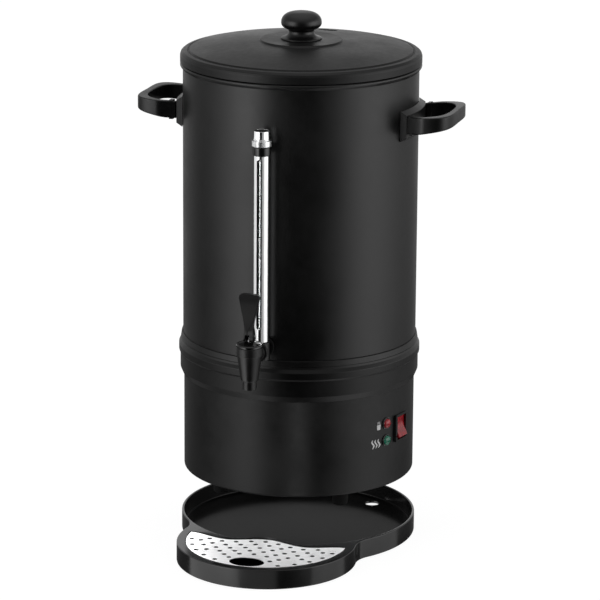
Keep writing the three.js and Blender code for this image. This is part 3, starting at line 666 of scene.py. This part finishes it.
def power_inlet():
    z = 35
    face = BASE_R + 0.3
    pins = ((-7, -1.5), (7, -1.5), (0, 3.2))
    obj = forwards(prism("power_inlet_finish", rounded(rectangle(25, 12, 5), 6), 0, 2.4))
    move(obj, 0, face + 2.4, z)
    carve(obj, [block("well", (-13.6, face - 24, z - 9.8), (13.6, face + 1, z + 9.8))], "UNION")
    socket = rounded([(-12, -8), (12, -8), (12, 4, 0.5), (8, 8, 0.5), (-8, 8, 0.5), (-12, 4, 0.5)], 2)
    cuts = [move(forwards(prism("cutter", socket, -4, 16)), 0, face, z)]
    for x, up in pins:
        low = (x - 1.3, face - 26, z + up - 2.3)
        cuts.append(block("cutter", low, (x + 1.3, face - 10, z + up + 2.3)))
    dress(soften(carve(obj, cuts), 0.5, 2), "moulded")
    for i, (x, up) in enumerate(pins):
        low = (x - 1, face - 29, z + up - 2)
        pin = block(f"inlet_pin_{i + 1}_finish", low, (x + 1, face - 3, z + up + 2))
        dress(soften(pin, 0.35, 2), "brass")


# ---- handles


def handle_plate(name):
    """The curved plate on the tank, with chamfered long edges and flat ends."""
    half_width = 40
    outline = rounded([
        (130.4, 387.6, 0.4), (137.3, 392.0, 0.9), (137.3, 417.5, 0.9), (130.4, 421.8, 0.4)])
    rings = []
    for i in range(41):
        share = i / 20 - 1
        ring = []
        for r, z in outline:
            angle = share * asin(half_width / r)
            ring.append((r * cos(angle), r * sin(angle), z))
        rings.append(ring)
    return skin(name, rings)


def superloop(reach, half, power):
    """Half a rounded loop in plan, from the tank outwards to a given reach and back."""
    root = TANK_R + 2
    points = []
    for c, s in arc(0, 0, 1, -pi / 2, pi / 2, 96):
        x = root + (reach - root) * abs(c) ** (2 / power)
        t = min(max((x - root) / 20, 0), 1)
        narrow = 0.86 + 0.14 * t * t * (3 - 2 * t)
        points.append((x, narrow * half * copysign(abs(s) ** (2 / power), s)))
    return points


def loop_heights(x):
    """Underside and top of the handle's loop at a distance from the axis."""
    share = min(max((x - 138) / 46, 0), 1)
    return 397 + 9 * share, 416 + (x - TANK_R) / 54 * 4.0


def handle_loop():
    """The horizontal loop: a rounded bar swept between an outer and an inner outline."""
    rings = []
    for (ox, oy), (ix, iy) in zip(superloop(180, 48.5, 5), superloop(172, 42, 3.2)):
        out_low, out_top = loop_heights(ox)
        in_low, in_top = loop_heights(ix)
        width = hypot(ox - ix, oy - iy)
        section = rounded([
            (0, in_low, 1.6), (width, out_low, 2.2), (width, out_top, 1.5), (0, in_top, 1.5)])
        rings.append([(ix + (ox - ix) * u / width, iy + (oy - iy) * u / width, z) for u, z in section])
    return skin("handle loop", rings)


def root_collar(side):
    """A thin step round a rail where it leaves the plate."""
    extra = 1.0
    rings = []
    for x in (135, 138.8):
        low, top = loop_heights(x)
        outer = 42.4 + (x - 138) * 0.22
        near, far = outer - 7.4 - extra, outer + extra
        section = rounded([(near, low - extra, 1.2), (far, low - extra, 1.2), (far, top + extra, 1.2),
                           (near, top + extra, 1.2)], 3)
        rings.append([(x, side * y, z) for y, z in section])
    return skin("root collar", rings)


def handles():
    for name, angle in (("right_handle", 0), ("left_handle", 180)):
        obj = handle_plate(f"{name}_finish")
        carve(obj, [handle_loop(), root_collar(-1), root_collar(1)], "UNION")
        dress(turn(obj, angle), "moulded", sharp=30)
    for i, angle in enumerate((79, 101, -101, -79)):
        obj = screw(f"handle_screw_{i + 1}", 4.6, 2.6, 2.2, 6.3)
        dress(turn(move(forwards(obj, 404.5), 0, -128.3), angle), "turned steel")


# ---- sight gauge


def guard_tube():
    obj = turned("gauge_guard_tube_finish", [
        (7.0, 181.3, 0.3), (8.5, 181.3, 0.5), (8.5, 387, 0.5), (7.0, 387, 0.3)], 128, 3)
    half = 3
    slot = arc(0, 383.5 - half, half, 0, pi, 14)
    slot += arc(0, 196 + half, half, pi, 2 * pi, 14)
    carve(obj, [forwards(prism("cutter", slot, 0, 14))])
    soften(obj, 0.25, 2, 50)
    # The tube's inside and the slot's walls get the darkened steel: painted shade inside the tube.
    two_finishes(obj, "chrome", "shade-painted steel", lambda spot, normal: hypot(spot.x, spot.y) < 8.35)
    dress(obj, "chrome", y=GAUGE_Y)


def gauge_glass():
    obj = turned("gauge_glass_finish", [
        (2.8, 181.8, 0.3), (4, 181.8, 0.3), (4, 398, 0.3), (2.8, 398, 0.3)], 48, 3)
    dress(obj, "glass", y=GAUGE_Y)
    heights = [206.5 + 22.6 * i for i in range(8)]
    marks = [lathe("mark", [(4.02, z), (4.14, z), (4.14, z + 0.9), (4.02, z + 0.9)], 48) for z in heights]
    dress(joined("gauge_marks", marks), "mark", y=GAUGE_Y)


def gauge_collar():
    obj = turned("gauge_collar_finish", [
        (4.4, 387.3, 0.2), (9.8, 387.3, 0.6), (9.8, 396.5, 0.8), (4.4, 396.5, 0.2)], 96)
    carve(obj, [block("stay", (-4, 7, 389), (4, 13.6, 395))], "UNION")
    dress(soften(obj, 0.3, 2, 50), "glossy", y=GAUGE_Y)


def knurled_nut(radius, low, high):
    """A ring with a diamond knurl between two plain chamfers."""
    teeth, rows, depth, chamfer = 40, 7, 0.5, 0.6
    steps, levels = 4 * teeth, 28
    end = circle(0, 0, radius - 1.1, steps)
    rings = [at(end, low)]
    for k in range(levels + 1):
        z = low + chamfer + (high - low - 2 * chamfer) * k / levels
        ring = []
        for i, (c, s) in enumerate(circle(0, 0, 1, steps)):
            across = teeth * i / steps
            along = rows * k / levels
            first = abs((across + along) % 1 - 0.5) * 2
            second = abs((across - along) % 1 - 0.5) * 2
            r = radius - depth * max(1 - first, 1 - second) ** 1.5
            ring.append((r * c, r * s, z))
        rings.append(ring)
    return skin("knurl", rings + [at(end, high)])


def gauge_cap():
    cone = turned("cone", [
        (0, 402), (9.2, 402), (9.2, 404.6, 0.3), (8.8, 405.2, 0.3), (8.4, 413.8, 0.5), (7.6, 413.8, 0.3),
        (7.4, 412.8, 0.2), (0, 412.8),
    ], 96)
    obj = joined("gauge_cap_finish", [knurled_nut(10.8, 396.8, 404), cone])
    two_finishes(obj, "chrome", "moulded",
                 lambda spot, normal: spot.z > 412.5 and hypot(spot.x, spot.y) < 7.5)
    dress(obj, "chrome", y=GAUGE_Y, sharp=40)


def gauge_block():
    dress(turned("gauge_block_finish", [
        (0, 161), (9.8, 161, 1.0), (9.8, 181, 0.8), (6.6, 181), (6.6, 190, 0.4), (4.4, 190, 0.3), (4.4, 176),
        (0, 176),
    ], 96), "moulded", y=GAUGE_Y)


# ---- tap


def tap_body():
    obj = turned("tap_body_finish", [
        (4.6, 138.6, 0.5), (7.7, 138.6, 0.7), (7.7, 147.8, 0.3), (8.9, 148.2, 0.4), (9.6, 149.6, 0.8),
        (13.2, 175.4, 0.4), (13.4, 176.5, 0.2), (14.3, 176.8, 0.4), (14.4, 186, 0.6), (9.9, 186, 0.4),
        (9.9, 176, 0.5), (8.4, 164, 0.5), (4.6, 160, 0.4),
    ], 128)
    shank = forwards(turned("shank", [
        (4.5, 112), (7.8, 112, 0.5), (7.8, 153.4, 0.3), (11, 154.2, 0.7), (11, 157.2, 0.7),
        (8.2, 158.0, 0.5), (8.2, 173.4), (4.5, 173.4)], 64, 3), SHANK_Z)
    carve(move(obj, 0, TAP_Y), [shank], "UNION")
    dress(obj, "moulded", sharp=30)


def tap_fixings():
    nut = forwards(prism("tap_nut_finish", circle(0, 0, 13, 6), 121.5, 127.9), SHANK_Z)
    carve(nut, [forwards(rod(8.1, 100, 150, 64), SHANK_Z)])
    dress(soften(nut, 0.5, 2), "turned steel")
    seal = turned("tap_seal_finish", [
        (8.1, 130.5, 0.4), (11, 130.5, 0.8), (11, 133.9, 0.8), (8.1, 133.9, 0.4)], 64)
    dress(forwards(seal, SHANK_Z), "rubber")


def tap_bonnet():
    dress(turned("tap_bonnet_finish", [
        (2.8, 184), (9.6, 184), (9.6, 186.3, 0.2), (14.4, 186.3, 0.5), (14.8, 188.2, 0.8),
        (13.9, 189.7, 0.7), (12.4, 189.3, 0.6), (8.4, 190.6, 1.5), (5.6, 191.6, 0.6), (2.8, 191.6, 0.3),
    ], 96), "glossy", y=TAP_Y)


def pin_bore(reach):
    return move(turn(rod(1.4, -reach, reach, 24), 90, "Y"), z=PIN_Z)


def tap_valve():
    stem = turned("tap_stem_finish", [(0, 164.5), (2.2, 164.5, 0.3), (2.2, 200, 0.8), (0, 200)], 32)
    dress(carve(stem, [pin_bore(5)]), "turned steel", "valve", TAP_Y)
    low, high, coils, steps = 169.4, 182.6, 4, 20
    path = []
    for i in range(coils * steps + 1):
        angle = 2 * pi * i / steps
        z = low + (high - low) * i / (coils * steps)
        path.append((5.4 * cos(angle), 5.4 * sin(angle), z))
    spring = dress(wire("tap_spring_finish", path, 0.7, 10), "turned steel", y=TAP_Y)
    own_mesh(spring)


def lever_section(z, front, back, face, half):
    """One level of the lever, seen from above: a narrow front face, slanted cheeks and a round back."""
    face = min(face, half - 0.2)
    cheek = front + min(0.62 * (back - front), 1.15 * (half - face) + 0.5)
    corners = [
        (-face, front, 0.5), (face, front, 0.5), (half, cheek, 0.7), (half - 0.3, back, 1.1),
        (0.3 - half, back, 1.1), (-half, cheek, 0.7),
    ]
    return at(rounded(corners, 3), z)


def between(table, value):
    """Linear reading of a table of pairs."""
    for (a, at_a), (b, at_b) in zip(table, table[1:]):
        if value <= b:
            return at_a + (at_b - at_a) * max(value - a, 0) / (b - a)
    return table[-1][1]


def lever():
    """The tap's lever and its pin: each table gives a measure by height above the pin."""
    front = [(-5.3, -3.7), (-4.9, -5.8), (-3.7, -7.9), (-1.4, -9.8), (1, -10.5), (5, -10), (8, -9),
             (16, -6.5), (27, -4.2), (38, -3.2), (46.6, -4.0)]
    back = [(-5.3, 6), (4, 6), (6, 5.8), (14, 4.2), (24, 3.2), (36, 2.6), (46.6, 2.2)]
    face = [(-5.3, 5.2), (-2, 3.6), (2, 1.2), (5, 0.7), (8.5, 1.3), (11.5, 2.8), (19, 5.4), (31, 8.8),
            (43.5, 11.0), (46.6, 6.8)]
    half = [(-5.3, 5.4), (-3, 5.6), (5, 4.9), (8.5, 4.4), (11.5, 4.6), (14, 5.0), (19, 6.0), (31, 9.2),
            (41.5, 11.2), (44, 11.4), (45.1, 10.9), (46.1, 9.2), (46.6, 7.0)]
    levels = [-5.3, -5.2, -4.9, -4.4, -3.7, -2.6, -1.4, 0, 1, 3, 5, 6.5, 8, 10, 12, 14, 16, 18, 20, 23, 26,
              29, 32, 35, 38, 40.5, 42, 43.3, 44.2, 44.9, 45.4, 45.8, 46.1, 46.4, 46.6]
    curves = [flowing(table, 5) for table in (front, back, face, half)]
    rings = [lever_section(PIN_Z + z, *(between(curve, z) for curve in curves)) for z in levels]
    fork = block("cutter", (-2.7, -14, PIN_Z - 9), (2.7, 3.4, PIN_Z + 3.4))
    obj = carve(skin("tap_lever_finish", rings), [fork, pin_bore(9)])
    dress(obj, "lever", "lever", TAP_Y, 28)
    pin = turned("tap_lever_pin_finish", [(0, -6.2), (1.1, -6.2, 0.3), (1.1, 6.2, 0.3), (0, 6.2)], 24, 3)
    dress(move(turn(pin, 90, "Y"), z=PIN_Z), "turned steel", "lever", TAP_Y)


# ---- switch, lamps and pictograms


def switch():
    back = -BASE_R - 0.3
    obj = forwards(prism("switch_housing_finish", rounded(rectangle(12.8, 15.4, 2), 5), 0, 2.4), SWITCH_Z)
    shell = block("shell", (-10.7, back - 1, SWITCH_Z - 13.8), (10.7, -105, SWITCH_Z + 13.8))
    opening = block("cutter", (-9.6, back - 9, SWITCH_Z - 13.3), (9.6, -117, SWITCH_Z + 13.3))
    carve(carve(move(obj, 0, back), [shell], "UNION"), [opening])
    dress(turn(soften(obj, 0.5), SWITCH_ANGLE), "glossy")


def rocker():
    """The rocker, drawn about its pivot and then tilted with its upper end pressed in."""
    dished = flowing([(-6.6, 11.4), (-5.5, 7.5), (-4.6, 3.4), (-4.4, 0), (-4.6, -3.4), (-5.5, -7.5),
                      (-6.6, -11.4)], 5)
    outline = dished + [(-5.4, -11.8), (3, -10.4), (3, 10.4), (-5.4, 11.8)]
    obj = skin("switch_rocker_finish", [[(x, y, z) for y, z in outline] for x in (-9.1, 9.1)])
    turn(soften(obj, 0.7, 4, 40), -12, "X")
    dress(turn(move(obj, 0, -125.5, SWITCH_Z), SWITCH_ANGLE), "red", "rocker")


def lamps():
    r = BASE_R
    rim = [(5.4, r - 11), (5.75, r - 11), (5.75, r + 0.3), (6.9, r + 0.3, 0.2), (6.9, r + 1.0, 0.4),
           (6.3, r + 1.5, 0.3), (5.4, r + 1.5, 0.2)]
    dome = flowing([(5.2, r + 1.5), (4.9, r + 2.3), (3.8, r + 3.2), (2.0, r + 3.8), (0, r + 4.0)], 4)
    for colour, z in (("red", RED_Z), ("green", GREEN_Z)):
        bezel = turned(f"{colour}_lamp_bezel_finish", rim, 64)
        lens = lathe(f"{colour}_lamp_lens_finish", [(0, r - 10), (5.2, r - 10)] + dome, 64)
        for obj, finish in ((bezel, "glossy"), (lens, colour)):
            dress(turn(forwards(obj, z), LAMP_ANGLE), finish)


def on_base(outline, angle, z):
    """A thin raised mark on the base's wall, from a flat outline centred on 0."""
    rings = []
    for r in (BASE_R - 0.1, BASE_R + 0.14):
        rings.append([(*around(r, angle + degrees(x / BASE_R)), z + up) for x, up in outline])
    return skin("mark", rings)


def pictograms():
    """Two plain symbols by the lamps: a steaming vessel, and three waves of heat."""
    vessel = rounded([(-2.3, -4.6, 0.5), (2.3, -4.6, 0.5), (2.9, 1.2, 0.2), (-2.9, 1.2, 0.2)], 2)
    wisps = [[(x - 0.35, 2.0), (x + 0.35, 2.0), (x + 0.35, 4.8), (x - 0.35, 4.8)] for x in (-1.6, 0, 1.6)]
    parts = [on_base(outline, 59.8, RED_Z - 0.7) for outline in [vessel] + wisps]
    left, right = [], []
    for i in range(17):
        t = i / 16
        x = 1.4 * sin(2 * pi * (t - 0.05))
        half = 1.15 * (0.55 + 0.45 * sin(pi * t))
        left.append((x - half, -4.9 + 9.8 * t))
        right.append((x + half, -4.9 + 9.8 * t))
    for k in (-1, 0, 1):
        parts.append(on_base(left + right[::-1], 58.0 + 1.95 * k, GREEN_Z - 1.2))
    dress(joined("pictograms", parts), "print")


# ---- lid


def lid():
    sheet = 1.2
    dome = [(60, 484.3), (75, 482.9), (90, 481.2), (105, 479.0), (115, 477.3)]
    outline = [(2.6, 487, 0.2), (44.8, 487, 0.8), (46.2, 485.3, 0.5)] + dome
    outline += [(122.2, 476.1, 0.5), (123.9, 473.4, 0.6), (125.6, 475.0, 0.6), (129.6, 474.3, 1.4),
                (132.2, 472.2, 1.6), (133, 469.6, 2.0), (133, 462.2, 0.4), (131.8, 462.2, 0.4),
                (131.8, 469.4, 0.6), (127.9, 470.8, 0.4), (127.9, 453, 0.4), (126.7, 453, 0.4),
                (126.7, 473.0, 1.0)]
    outline += [(r, z - sheet) for r, z in reversed(dome)]
    outline += [(46, 483.8, 0.5), (44, 485.8, 0.5), (2.6, 485.8, 0.2)]
    vent = move(stretch(rod(1, 470, 495), 11, 7.5), *around(84, 176))
    dress(carve(turned("lid_finish", outline, 256), [vent]), "lid coat", "lid")


def lid_knob():
    side = [(22.4, 487.3), (22.6, 487.9), (21.8, 488.7), (17.5, 490.0), (14.8, 492.6), (14.0, 495.6),
            (14.6, 497.2), (17.0, 498.5), (20.2, 500.4), (22.0, 503.0), (22.3, 506.0), (21.6, 509.4),
            (19.2, 512.9), (15.2, 515.5), (10, 516.9), (5, 517.3), (0, 517.4)]
    obj = lathe("lid_knob_finish", [(0, 487.3)] + flowing(side, 5), 128)
    dress(obj, "moulded", "lid", sharp=50)
    dress(move(screw("knob_screw", 5, 2.8, 2.2, 13), z=485.5), "turned steel", "lid")


# ---- brewing insert


def band(start, end, low, high, columns, rows, share, depth):
    """A sheet from one radius and height to another, turned about Z, with a round hole in each cell."""
    def place(u, v):
        angle = 2 * pi * u / columns
        r = start + (end - start) * v / rows
        return r * cos(angle), r * sin(angle), low + (high - low) * v / rows

    points, faces = [], []
    square = [(1, 0), (1, 1), (0, 1), (-1, 1), (-1, 0), (-1, -1), (0, -1), (1, -1)]
    for column in range(columns):
        for row in range(rows):
            u, v = column + 0.5, row + 0.5
            first = len(points)
            points += [place(u + x / 2, v + y / 2) for x, y in square]
            for x, y in square:
                scale = share / hypot(x, y) / 2
                points.append(place(u + x * scale, v + y * scale))
            for i in range(8):
                j = (i + 1) % 8
                faces.append([first + i, first + j, first + 8 + j, first + 8 + i])
    obj = mesh_object("sheet", points, faces)
    modify(obj, "SOLIDIFY", thickness=depth * MM, offset=0)
    return applied(obj)


def pump():
    foot = turned("pump_foot_finish", [
        (6.3, INSERT_Z + 14, 0.4), (23.6, INSERT_Z + 0.4, 0.4), (25.2, INSERT_Z + 0.4, 0.4),
        (25.2, INSERT_Z + 2.6, 1.0), (9.2, INSERT_Z + 17, 1.5), (8.6, INSERT_Z + 26, 0.5),
        (6.3, INSERT_Z + 26, 0.3),
    ], 96)
    tube = turned("perk_tube_finish", [
        (5, INSERT_Z + 6, 0.2), (6, INSERT_Z + 6, 0.4), (6, 368), (11, 370, 0.5), (11, 371.4, 0.5),
        (6, 371.4), (6, 462, 0.4), (5, 462, 0.2),
    ], 64, 3)
    for obj in (foot, tube):
        dress(obj, "turned steel", "brew_insert")


def filter_basket():
    parts = [
        band(95.5, 95.5, 382, 432, 110, 10, 0.56, 0.9),
        turned("upper wall", [
            (95.1, 432), (95.9, 432), (95.9, 438.6, 0.6), (100, 438.6, 0.4), (100, 440, 0.5),
            (95.1, 440, 0.6),
        ], 110),
        turned("lower wall", [
            (89, 372.0, 0.4), (95.9, 376.4, 2.5), (95.9, 382), (95.1, 382), (95.1, 377, 2.2),
            (89, 372.8, 0.4),
        ], 110, 5),
        turned("sleeve", [(6.3, 372.2), (7.6, 372.2), (7.6, 412, 0.4), (6.3, 412, 0.3)], 48, 3),
    ]
    for start, end, columns in ((7, 22, 24), (22, 44, 54), (44, 66, 90), (66, 89.4, 120)):
        rows = round((end - start) / 5.2)
        parts.append(band(start, end, 372.4, 372.4, columns, rows, 0.5, 0.8))
    dress(joined("filter_basket_finish", parts), "steel", "brew_insert", sharp=40)


def basket_lid():
    parts = [
        turned("hub", [
            (6.3, 443), (12, 443), (12, 444), (7.8, 444, 0.6), (7.8, 446, 0.4), (6.3, 446, 0.3)], 48, 3),
        turned("rim", [
            (88, 441.3), (93, 440.3, 0.5), (99, 440.3, 0.4), (99, 441.1, 0.3), (93.4, 441.1, 0.5),
            (88, 442.1),
        ], 128, 3),
        band(12, 40, 443.5, 443.5, 36, 4, 0.34, 0.9),
        band(40, 88, 443.5, 441.7, 80, 7, 0.34, 0.9),
    ]
    dress(joined("basket_lid_finish", parts), "steel", "brew_insert", sharp=40)


# ---- drip tray and grid


def tray_outline(grow):
    """The tray in plan: a round pan, a round lobe and two fillets, grown by a given amount."""
    pan = PAN_R + grow
    lobe = LOBE_R + grow
    fillet = 34 - grow
    y = ((lobe + fillet) ** 2 - (pan + fillet) ** 2 - LOBE_Y ** 2) / (2 * LOBE_Y)
    x = sqrt((pan + fillet) ** 2 - y ** 2)
    pan_angle = atan2(y, x)
    lobe_angle = atan2(y + LOBE_Y, x)
    points = arc(0, 0, pan, pan_angle, pi - pan_angle, 120)
    points += arc(-x, y, fillet, -pan_angle, -lobe_angle, 20)[1:-1]
    points += arc(0, -LOBE_Y, lobe, pi - lobe_angle, 2 * pi + lobe_angle, 100)
    points += arc(x, y, fillet, pi + lobe_angle, pi + pan_angle, 20)[1:-1]
    return points


def divider(x):
    """The wavy line between the pan and the grid."""
    return -122 + 6 * cos(2 * pi * x / 90)


def wave(start, end, shift, steps):
    """The divider's inner points between two ends, moved by shift."""
    places = [start + (end - start) * i / steps for i in range(1, steps)]
    return [(x, divider(x) + shift) for x in places]


def meeting(shift, radius, y0, side, low, high):
    """The x at which the divider, moved by shift, meets a circle about (0, y0)."""
    def is_above(x):
        return divider(x) + shift > y0 + side * sqrt(max(radius ** 2 - x ** 2, 0))

    start = is_above(low)
    for _ in range(50):
        middle = (low + high) / 2
        if is_above(middle) == start:
            low = middle
        else:
            high = middle
    return low


def crescent(inset):
    """The grid's outline, drawn in by inset."""
    radius = GRID_R - inset
    tip = meeting(-inset, radius, -LOBE_Y, 1, radius * 0.9, radius)
    rise = asin((divider(tip) - inset + LOBE_Y) / radius)
    front = arc(0, -LOBE_Y, radius, pi - rise, 2 * pi + rise, 110)
    return front + wave(tip, -tip, -inset, 90)


def pan_pocket(inset):
    """The round pocket for the urn's feet, cut off at the divider, drawn in by inset."""
    radius = PAN_R - 2.6 - inset
    wall = 5 + inset
    x = meeting(wall, radius, 0, -1, 15, 60)
    corner = asin((divider(x) + wall) / radius)
    return arc(0, 0, radius, corner, pi - corner, 170) + wave(-x, x, wall, 30)


def pocket(outline, top, floor_z, lip, fillet):
    """The walls of a pocket as rings, with a rounded lip and a rounded foot."""
    rings = [at(outline(-lip * (1 - s)), top - lip * (1 - c)) for c, s in quarter(4)]
    return rings + [at(outline(fillet * (1 - c)), floor_z + fillet * (1 - s)) for c, s in quarter(5)]


def drip_tray():
    foot, lip = 1.6, 1.1
    shell = [at(tray_outline(-foot * (1 - s)), foot * (1 - c)) for c, s in quarter(5)]
    shell += [at(tray_outline(-lip * (1 - c)), TRAY_H - lip * (1 - s)) for c, s in quarter(5)]
    pan = pocket(pan_pocket, TRAY_H, TRAY_FLOOR, 0.9, 2.2)
    ledge = GRID_TOP - 0.9
    seat = [at(crescent(inset), z) for z, inset in
            ((TRAY_H, -0.5), (TRAY_H - 0.2, -0.15), (TRAY_H - 0.6, 0), (ledge, 0))]
    well = pocket(lambda inset: crescent(3 + inset), ledge, TRAY_FLOOR, 0.3, 2.2)
    centres = [around(114, angle) for angle in (-148, 148)]
    holes = [circle(x, y, 8.5, 40) for x, y in centres]
    rims = [circle(x, y, 9.0, 40) for x, y in centres]
    parts = [skin("wall", rings, caps=False) for rings in (shell, pan, seat, well)]
    parts += [
        filled("land", [flat(shell[-1]), flat(pan[0]), flat(seat[0])], TRAY_H),
        filled("ledge", [flat(seat[-1]), flat(well[0])], ledge),
        filled("pan floor", [flat(pan[-1])] + rims, TRAY_FLOOR),
        filled("well floor", [flat(well[-1])], TRAY_FLOOR),
        filled("underside", [flat(shell[0])] + holes, 0),
    ]
    for hole, rim in zip(holes, rims):
        rings = [at(rim, TRAY_FLOOR), at(hole, TRAY_FLOOR - 0.5), at(hole, 0)]
        parts.append(skin("hole wall", rings, caps=False))
    notch = move(stretch(rod(5.5, -20, 12), 1, 0.55), 15, -114.2, TRAY_H)
    dress(carve(joined("drip_tray_finish", parts), [notch]), "tray", "tray")


def drain_holes():
    """One row along the grid's round edge and staggered rows that follow the wavy edge."""
    clear = 5.5
    rim = GRID_R - 6.5
    pitch, row_pitch = 15.6, 10.8
    count = round(pi * rim / 18)
    spots = arc(0, -LOBE_Y, rim, pi, 2 * pi, count)
    for row in range(7):
        for i in range(-6, 7):
            x = (i + 0.5 * (row % 2)) * pitch
            y = divider(x) - 7.5 - row_pitch * row
            if hypot(x, y + LOBE_Y) < rim - 8:
                spots.append((x, y))
    cup_x, cup_y, a, b = CUP_HOLE
    return [circle(x, y, 2.75, 20) for x, y in spots if y < divider(x) - clear
            and hypot((x - cup_x) / (a + clear), (y - cup_y) / (b + clear)) >= 1]


def drip_grid():
    holes = drain_holes() + [ellipse(*CUP_HOLE, 48)]
    dress(plate("drip_grid_finish", crescent(0.5), holes, GRID_TOP - 0.8, GRID_TOP, 0.15),
          "grid steel", "grid")


# ---- floor, light and camera


def floor():
    """A wide pale floor that isn't seen from below and doesn't light the object."""
    half = 60000
    obj = mesh_object("floor", at(flat(rectangle(half, half, 0)), 0), [[0, 1, 2, 3]])
    obj.location.z = -0.0005
    material, place = new_material("pale floor")
    tree = place.id_data
    cloud = spread(noise_at(place, 3.0, 2.0))
    matte = node(tree, "BsdfDiffuse", {"Color": blended(cloud, grey(0.18), grey(0.2))})
    glow = node(tree, "Emission", {"Color": grey(1.0), "Strength": 0.92})
    lit = node(tree, "AddShader", {0: matte, 1: glow})
    clear = node(tree, "BsdfTransparent")
    under = node(tree, "NewGeometry", output="Backfacing")
    show(node(tree, "MixShader", {0: under, 1: lit, 2: clear}))
    obj.data.materials.append(material)
    obj.visible_glossy = False
    obj.visible_diffuse = False
    obj.visible_transmission = False


def studio():
    """A white surround for the camera, and for reflections a soft room that is dark in front of the urn."""
    world = bpy.data.worlds.new("studio")
    bpy.context.scene.world = world
    world.use_nodes = True
    tree = world.node_tree
    tree.nodes.clear()
    way = node(tree, "TexCoord", output="Generated")
    camera_side = radians(16.7)
    right = (cos(camera_side), sin(camera_side), 0)
    near = (sin(camera_side), -cos(camera_side), 0)
    across, towards = (node(tree, "VectorMath", {0: way, 1: axis}, "Value", operation="DOT_PRODUCT")
                       for axis in (right, near))
    angle = reckon("ARCTAN2", across, towards)
    ramp = node(tree, "ValToRGB", {"Fac": spread(angle, 0.0, 1.0, -pi, pi)})
    brightness = [
        (-180, 0.6), (-143, 0.35), (-128, 0.38), (-112, 0.2), (-92, 0.5), (-75, 1.2), (-60, 2.1), (-50, 2.8),
        (-40, 1.8), (-30, 0.03), (0, 0.0), (21, 0.01), (30, 0.14), (40, 0.65), (50, 1.3), (62, 1.85),
        (80, 1.8), (95, 1.15), (117, 0.5), (143, 0.3), (180, 0.6),
    ]
    stops = ramp.node.color_ramp.elements
    for i, (degrees, value) in enumerate(brightness):
        share = (degrees + 180) / 360
        stop = stops[i] if i < 2 else stops.new(share)
        stop.position = share
        stop.color = grey(value)
    height = height_of(way)
    above = spread(height, 0.02, 1.4, -0.35, -0.13)
    below = spread(height, 0.7, 0.0, -0.52, -0.4)
    sides = node(tree, "VectorMath", {0: ramp, "Scale": reckon("ADD", above, below)},
                 operation="SCALE")
    room = blended(spread(height, 0.0, 1.0, 0.2, 0.5), sides, grey(0.3))
    room = blended(spread(height, 0.0, 1.0, 0.6, 0.95), room, grey(0.8))
    lit = node(tree, "Background", {"Color": room})
    seen = node(tree, "Background", {"Color": grey(1.0)})
    camera_ray = node(tree, "LightPath", output="Is Camera Ray")
    show(node(tree, "MixShader", {0: camera_ray, 1: lit, 2: seen}), "OutputWorld")


def linked(name, pieces):
    collection = bpy.data.collections.new(name)
    for piece in pieces:
        collection.objects.link(bpy.data.objects[f"{piece}_finish"])
    return collection


def soft_box(name, degrees, distance, height, width, tall, radiance, lit, aim=0.3, shading=()):
    """An area light, in metres, at an angle from the front. It lights only the lit pieces, and only
    they and the shading ones block it. Aim is the height that it points at on the axis."""
    light = bpy.data.lights.new(name, "AREA")
    light.shape = "RECTANGLE"
    light.size = width
    light.size_y = tall
    light.energy = radiance * pi * width * tall
    obj = bpy.data.objects.new(name, light)
    bpy.context.scene.collection.objects.link(obj)
    obj.location = (*around(distance, degrees), height)
    look = Vector((0, 0, aim)) - obj.location
    obj.rotation_euler = look.to_track_quat("-Z", "Y").to_euler()
    obj.visible_camera = False
    obj.light_linking.receiver_collection = linked(f"{name} receivers", lit)
    obj.light_linking.blocker_collection = linked(f"{name} blockers", (*lit, *shading))


def lights():
    tray, grid = ["drip_tray"], ["drip_grid"]
    chrome = ["gauge_guard_tube", "gauge_cap"]
    soft_box("tray back light", 196.7, 1.7, 1.0, 3.0, 1.7, 0.3, tray, 0.05, grid)
    soft_box("tray left light", -54, 1.5, -0.4, 2.2, 1.2, 1.1, tray, 0.0, grid)
    soft_box("tray front light", 5, 1.5, -0.4, 1.2, 1.2, 0.4, tray, 0.0, grid)
    soft_box("tray right light", 100, 1.5, -0.4, 1.6, 1.2, 0.5, tray, 0.0, grid)
    soft_box("grid light", 196.7, 1.7, 1.1, 3.6, 2.0, 3.2, grid, 0.05)
    soft_box("gauge right light", 67, 1.6, 0.0, 3.5, 2.4, 0.36, chrome)
    soft_box("gauge left light", -100, 1.6, 0.0, 2.2, 2.4, 0.6, chrome)
    soft_box("glass light", -40, 1.5, -0.1, 1.1, 1.6, 14.0, ["gauge_glass"])
    soft_box("tap light", -50, 1.5, -0.75, 1.5, 1.2, 1.0, ["tap_body"])
    soft_box("base light", 15.5, 2.0, -0.55, 0.35, 0.8, 3.2, ["base_shell"], 0.14)


def camera():
    """The camera, in metres and radians, looks down at the urn from in front and from its right."""
    data = bpy.data.cameras.new("camera")
    data.lens = 208.63
    data.sensor_width = 36
    data.shift_x = 0.0373
    data.clip_end = 200
    obj = bpy.data.objects.new("camera", data)
    obj.location = (1.0771, -3.5953, 1.2813)
    tilt, swing, roll = 0.2642, 0.2976, 0.0053
    level = Euler((pi / 2 - tilt, 0, swing)).to_matrix()
    obj.rotation_euler = (level @ Matrix.Rotation(roll, 3, "Z")).to_euler()
    bpy.context.scene.collection.objects.link(obj)
    bpy.context.scene.camera = obj


# ---- the whole scene

for build in (tank_shell, joint_ring, base_shell, base_plate, base_screws, feet, electrics, power_inlet,
              handles, guard_tube, gauge_glass, gauge_collar, gauge_cap, gauge_block, tap_body,
              tap_fixings, tap_bonnet, tap_valve, lever, switch, rocker, lamps, pictograms, lid,
              lid_knob, pump, filter_basket, basket_lid, drip_tray, drip_grid, floor, studio, lights,
              camera):
    build()
bpy.context.scene.view_settings.view_transform = "Standard"
